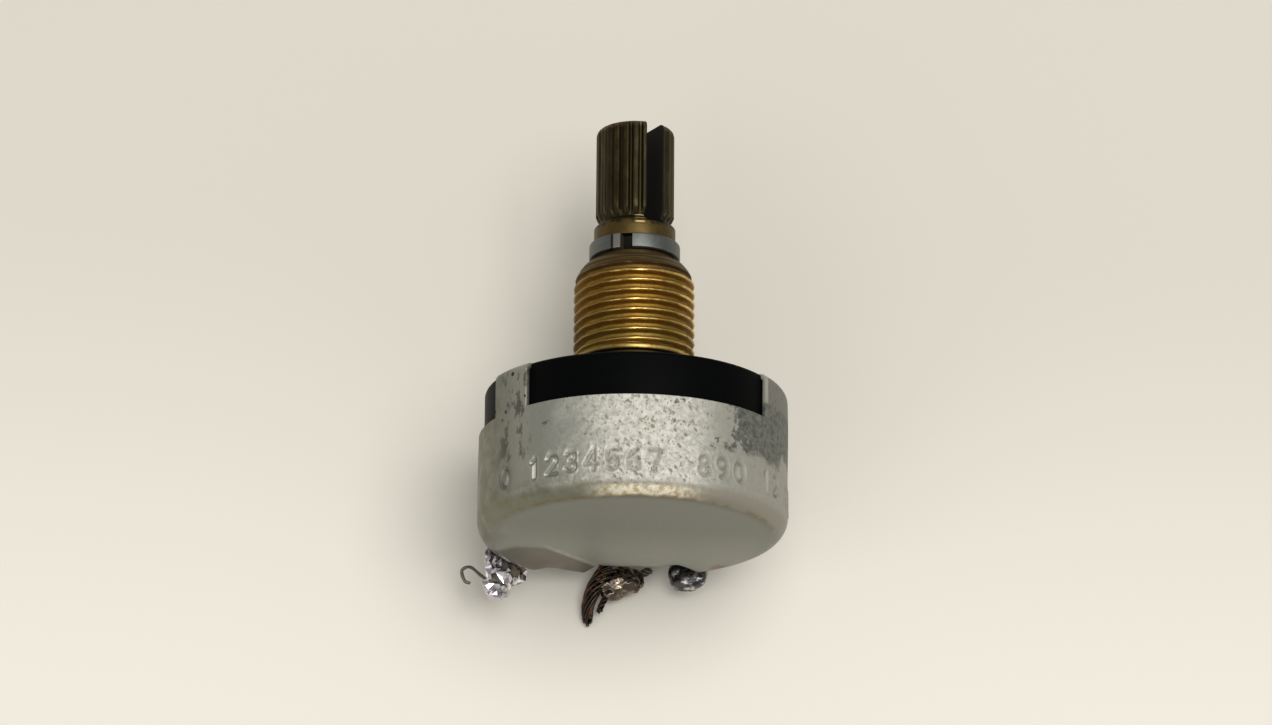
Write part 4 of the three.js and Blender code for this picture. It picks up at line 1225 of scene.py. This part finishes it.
def strands(name, number, path, count, radius, spread, turns, slot, stands_for):
    """A clipped bundle of twisted strands along a path given from the end of a lug. spread is how
    far the strands lie from the path where it starts and where it ends."""
    line = wire_path(number, path, 48)
    _, across = frames_along(line)
    parts = []
    for strand in range(count):
        places, radii = [], []
        cut = 1.0 if strand == count - 1 else 0.95 - 0.04 * ((strand * 7) % 4)
        last = int(len(line) * cut)
        for index in range(max(last, 6)):
            share = index / (len(line) - 1)
            angle = 2 * math.pi * (strand / max(count - 1, 1) + turns * share)
            reach = spread[0] + (spread[1] - spread[0]) * share**0.7
            if strand == count - 1 and count > 3:
                reach = 0
            u, v = across[index]
            places.append(line[index] + (u * math.cos(angle) + v * math.sin(angle)) * reach)
            radii.append(radius * (1 + 0.06 * math.sin(strand * 2.1 + index * 0.8)))
        parts.append(tube(np.array(places), radii))
    points, faces = joined(parts)
    return piece(name, points, faces, "housing", slot, stands_for, sharp=60)


def solder_and_wires():
    lump("solder_lump_1", 1,
         [((0, 0.2, -0.3), (1.6, 0.85, 0.98)), ((0.7, 0.1, 0.35), (0.95, 0.7, 0.95)),
          ((-0.7, 0.3, 0.1), (0.95, 0.75, 0.9))],
         "dull_solder", ["solder_1"], voxel=0.07, crumple=0.07, grain=0.9)
    lump("solder_lump_2", 2,
         [((-0.8, 0.0, 0.25), (1.5, 0.7, 1.2)), ((-1.65, 0.1, 0.5), (0.85, 0.55, 0.95)),
          ((0.1, 0.25, -0.75), (1.0, 0.5, 0.55)), ((0.8, 0.1, 0.2), (0.8, 0.6, 0.9))],
         "burnt_solder", ["solder_2"], voxel=0.06, crumple=0.13, grain=0.8)
    lump("solder_lump_3", 3,
         [((0.1, -0.1, 0.25), (1.6, 0.75, 1.45)), ((1.05, -0.2, 1.2), (0.7, 0.6, 0.95)),
          ((0.6, 0.0, -1.05), (1.15, 0.65, 0.95)), ((-1.2, -0.1, 0.5), (0.85, 0.6, 0.95))],
         "bright_solder", ["solder_3"], voxel=0.06, crumple=0.3, grain=0.7, facets=0.02)
    strands("strand_hook", 3,
            [(0.2, 0.9, -0.5), (0.75, 1.7, 0.3), (1.1, 2.6, 1.1),
             (1.4, 3.25, 0.9), (1.2, 3.15, 0.1), (0.85, 2.9, -0.1)],
            count=1, radius=0.13, spread=(0, 0), turns=0,
            slot="tinned_wire", stands_for=["wire_end_hook"])
    strands("strands_long", 2,
            [(0.1, -0.1, 1.2), (1.0, 0.0, 0.35), (1.6, 0.2, -0.6),
             (1.93, 0.5, -1.7), (1.93, 0.9, -2.6), (1.88, 1.0, -3.25)],
            count=11, radius=0.13, spread=(0.8, 0.22), turns=0.7,
            slot="oxidised_copper", stands_for=["wire_end_long"])
    strands("strands_short", 2, [(0.4, 0.15, -0.8), (0.85, 0.25, -1.6), (1.1, 0.3, -2.35)],
            count=5, radius=0.1, spread=(0.16, 0.16), turns=1.0,
            slot="oxidised_copper", stands_for=["wire_end_short"])
    strands("strands_stub", 2,
            [(-1.3, 0.5, -0.35), (-1.8, 0.6, 0.6), (-2.5, 0.5, 1.15), (-3.15, 0.4, 1.35)],
            count=6, radius=0.11, spread=(0.19, 0.24), turns=1.1,
            slot="tinned_wire", stands_for=["wire_end_stub"])


# --------------------------------------------------------------------------- carried-over nodes

CARRIED = {
    "thrust_washer": "spring_steel",
    "element_wafer": "brown_phenolic",
    "carbon_track": "carbon",
    "collector_ring": "silver",
    "rotor_disc": "brown_phenolic",
    "wiper_spring": "bronze",
    "wiper_rivet_a": "rivet_brass",
    "wiper_rivet_b": "rivet_brass",
}
for number in TERMINALS:
    CARRIED[f"terminal_{number}"] = "tinned_brass"
    CARRIED[f"terminal_rivet_{number}"] = "tinned_brass"
BREAK_EDGES = {"terminal_1": 0.06, "terminal_2": 0.06, "terminal_3": 0.06, "rotor_disc": 0.08}


def carry_over():
    """CAD nodes whose shape is right: they get a finish, and the larger ones soft edges."""
    for node, slot in CARRIED.items():
        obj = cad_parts[node]
        obj.data.materials.clear()
        obj.data.materials.append(MATERIALS[slot])
        if node in BREAK_EDGES:
            weld = obj.modifiers.new("weld", "WELD")
            weld.merge_threshold = 1e-6
            bevel = obj.modifiers.new("break", "BEVEL")
            bevel.width, bevel.segments = BREAK_EDGES[node] * MM, 2
            bevel.limit_method = "ANGLE"
            bevel.angle_limit = math.radians(40)


# --------------------------------------------------------------------------- camera and light

CAMERA_DISTANCE = 400
CAMERA_TILT = 18.486
CAMERA_SWING = 6.85
CAMERA_LEAN = 0.444
CAMERA_LENS = 146.66
AIM = (-0.195, -2.712)


def camera_axes():
    """Right, up and backward axes of the camera, in the control's own axes."""
    tilt, swing, lean = (math.radians(a) for a in (CAMERA_TILT, CAMERA_SWING, CAMERA_LEAN))
    over = np.array((math.sin(swing), math.cos(swing), 0))
    along = np.array((0, 0, 1.0))
    right = np.array((-math.cos(swing), math.sin(swing), 0))
    back = over * math.cos(tilt) - along * math.sin(tilt)
    up = over * math.sin(tilt) + along * math.cos(tilt)
    leaning_right = right * math.cos(lean) + up * math.sin(lean)
    leaning_up = up * math.cos(lean) - right * math.sin(lean)
    return leaning_right, leaning_up, back


def make_camera():
    right, up, back = camera_axes()
    target = np.array((0, 0, BASE_FRONT)) - AIM[0] * right - AIM[1] * up
    place = to_row(target + CAMERA_DISTANCE * back)[0]
    axes = [Vector(to_row(axis)[0]).normalized() for axis in (right, up, back)]
    data = bpy.data.cameras.new("camera")
    data.lens = CAMERA_LENS
    data.sensor_width = 36
    data.clip_start, data.clip_end = 0.01, 10
    camera = add_object("camera", data)
    camera.matrix_world = Matrix.Translation(place) @ Matrix(axes).transposed().to_4x4()
    bpy.context.scene.camera = camera


def make_floor():
    low = CAD_BOX[0].z
    mesh = bpy.data.meshes.new("floor")
    size = 2.0
    corners = [(-size, -size, low), (size, -size, low), (size, size, low), (-size, size, low)]
    mesh.from_pydata(corners, [], [(0, 1, 2, 3)])
    floor = add_object("floor", mesh)
    f = Finish("pale_floor", Roughness=0.9, Specular_IOR_Level=0.1)
    # painted light: the floor is paler towards +Y
    colour = f.mix(f.between(f.y, -20.0, 26.0), (0.70, 0.675, 0.60), (0.84, 0.81, 0.73))
    mesh.materials.append(f.finish(colour))


def soft_light(name, place, size, power, colour):
    data = bpy.data.lights.new(name, "AREA")
    data.shape, data.size, data.energy, data.color = "DISK", size, power, colour
    light = add_object(name, data)
    light.location = place
    light.rotation_mode = "QUATERNION"
    light.rotation_quaternion = (-Vector(place)).to_track_quat("-Z", "Y")


def make_light():
    world = bpy.data.worlds.new("studio")
    bpy.context.scene.world = world
    world.use_nodes = True
    background = world.node_tree.nodes["Background"]
    background.inputs["Color"].default_value = (1.0, 0.985, 0.95, 1)
    background.inputs["Strength"].default_value = 0.37
    soft_light("key", (-0.09, -0.02, 0.64), 0.5, 2.98, (1.0, 0.985, 0.955))
    soft_light("fill", (0.4, 0.3, 0.45), 0.5, 0.7, (1.0, 0.985, 0.96))


case_can()
base_plate()
bushing()
shaft()
retaining_ring()
solder_and_wires()
carry_over()
make_camera()
make_floor()
make_light()
bpy.context.scene.view_settings.view_transform = "Standard"
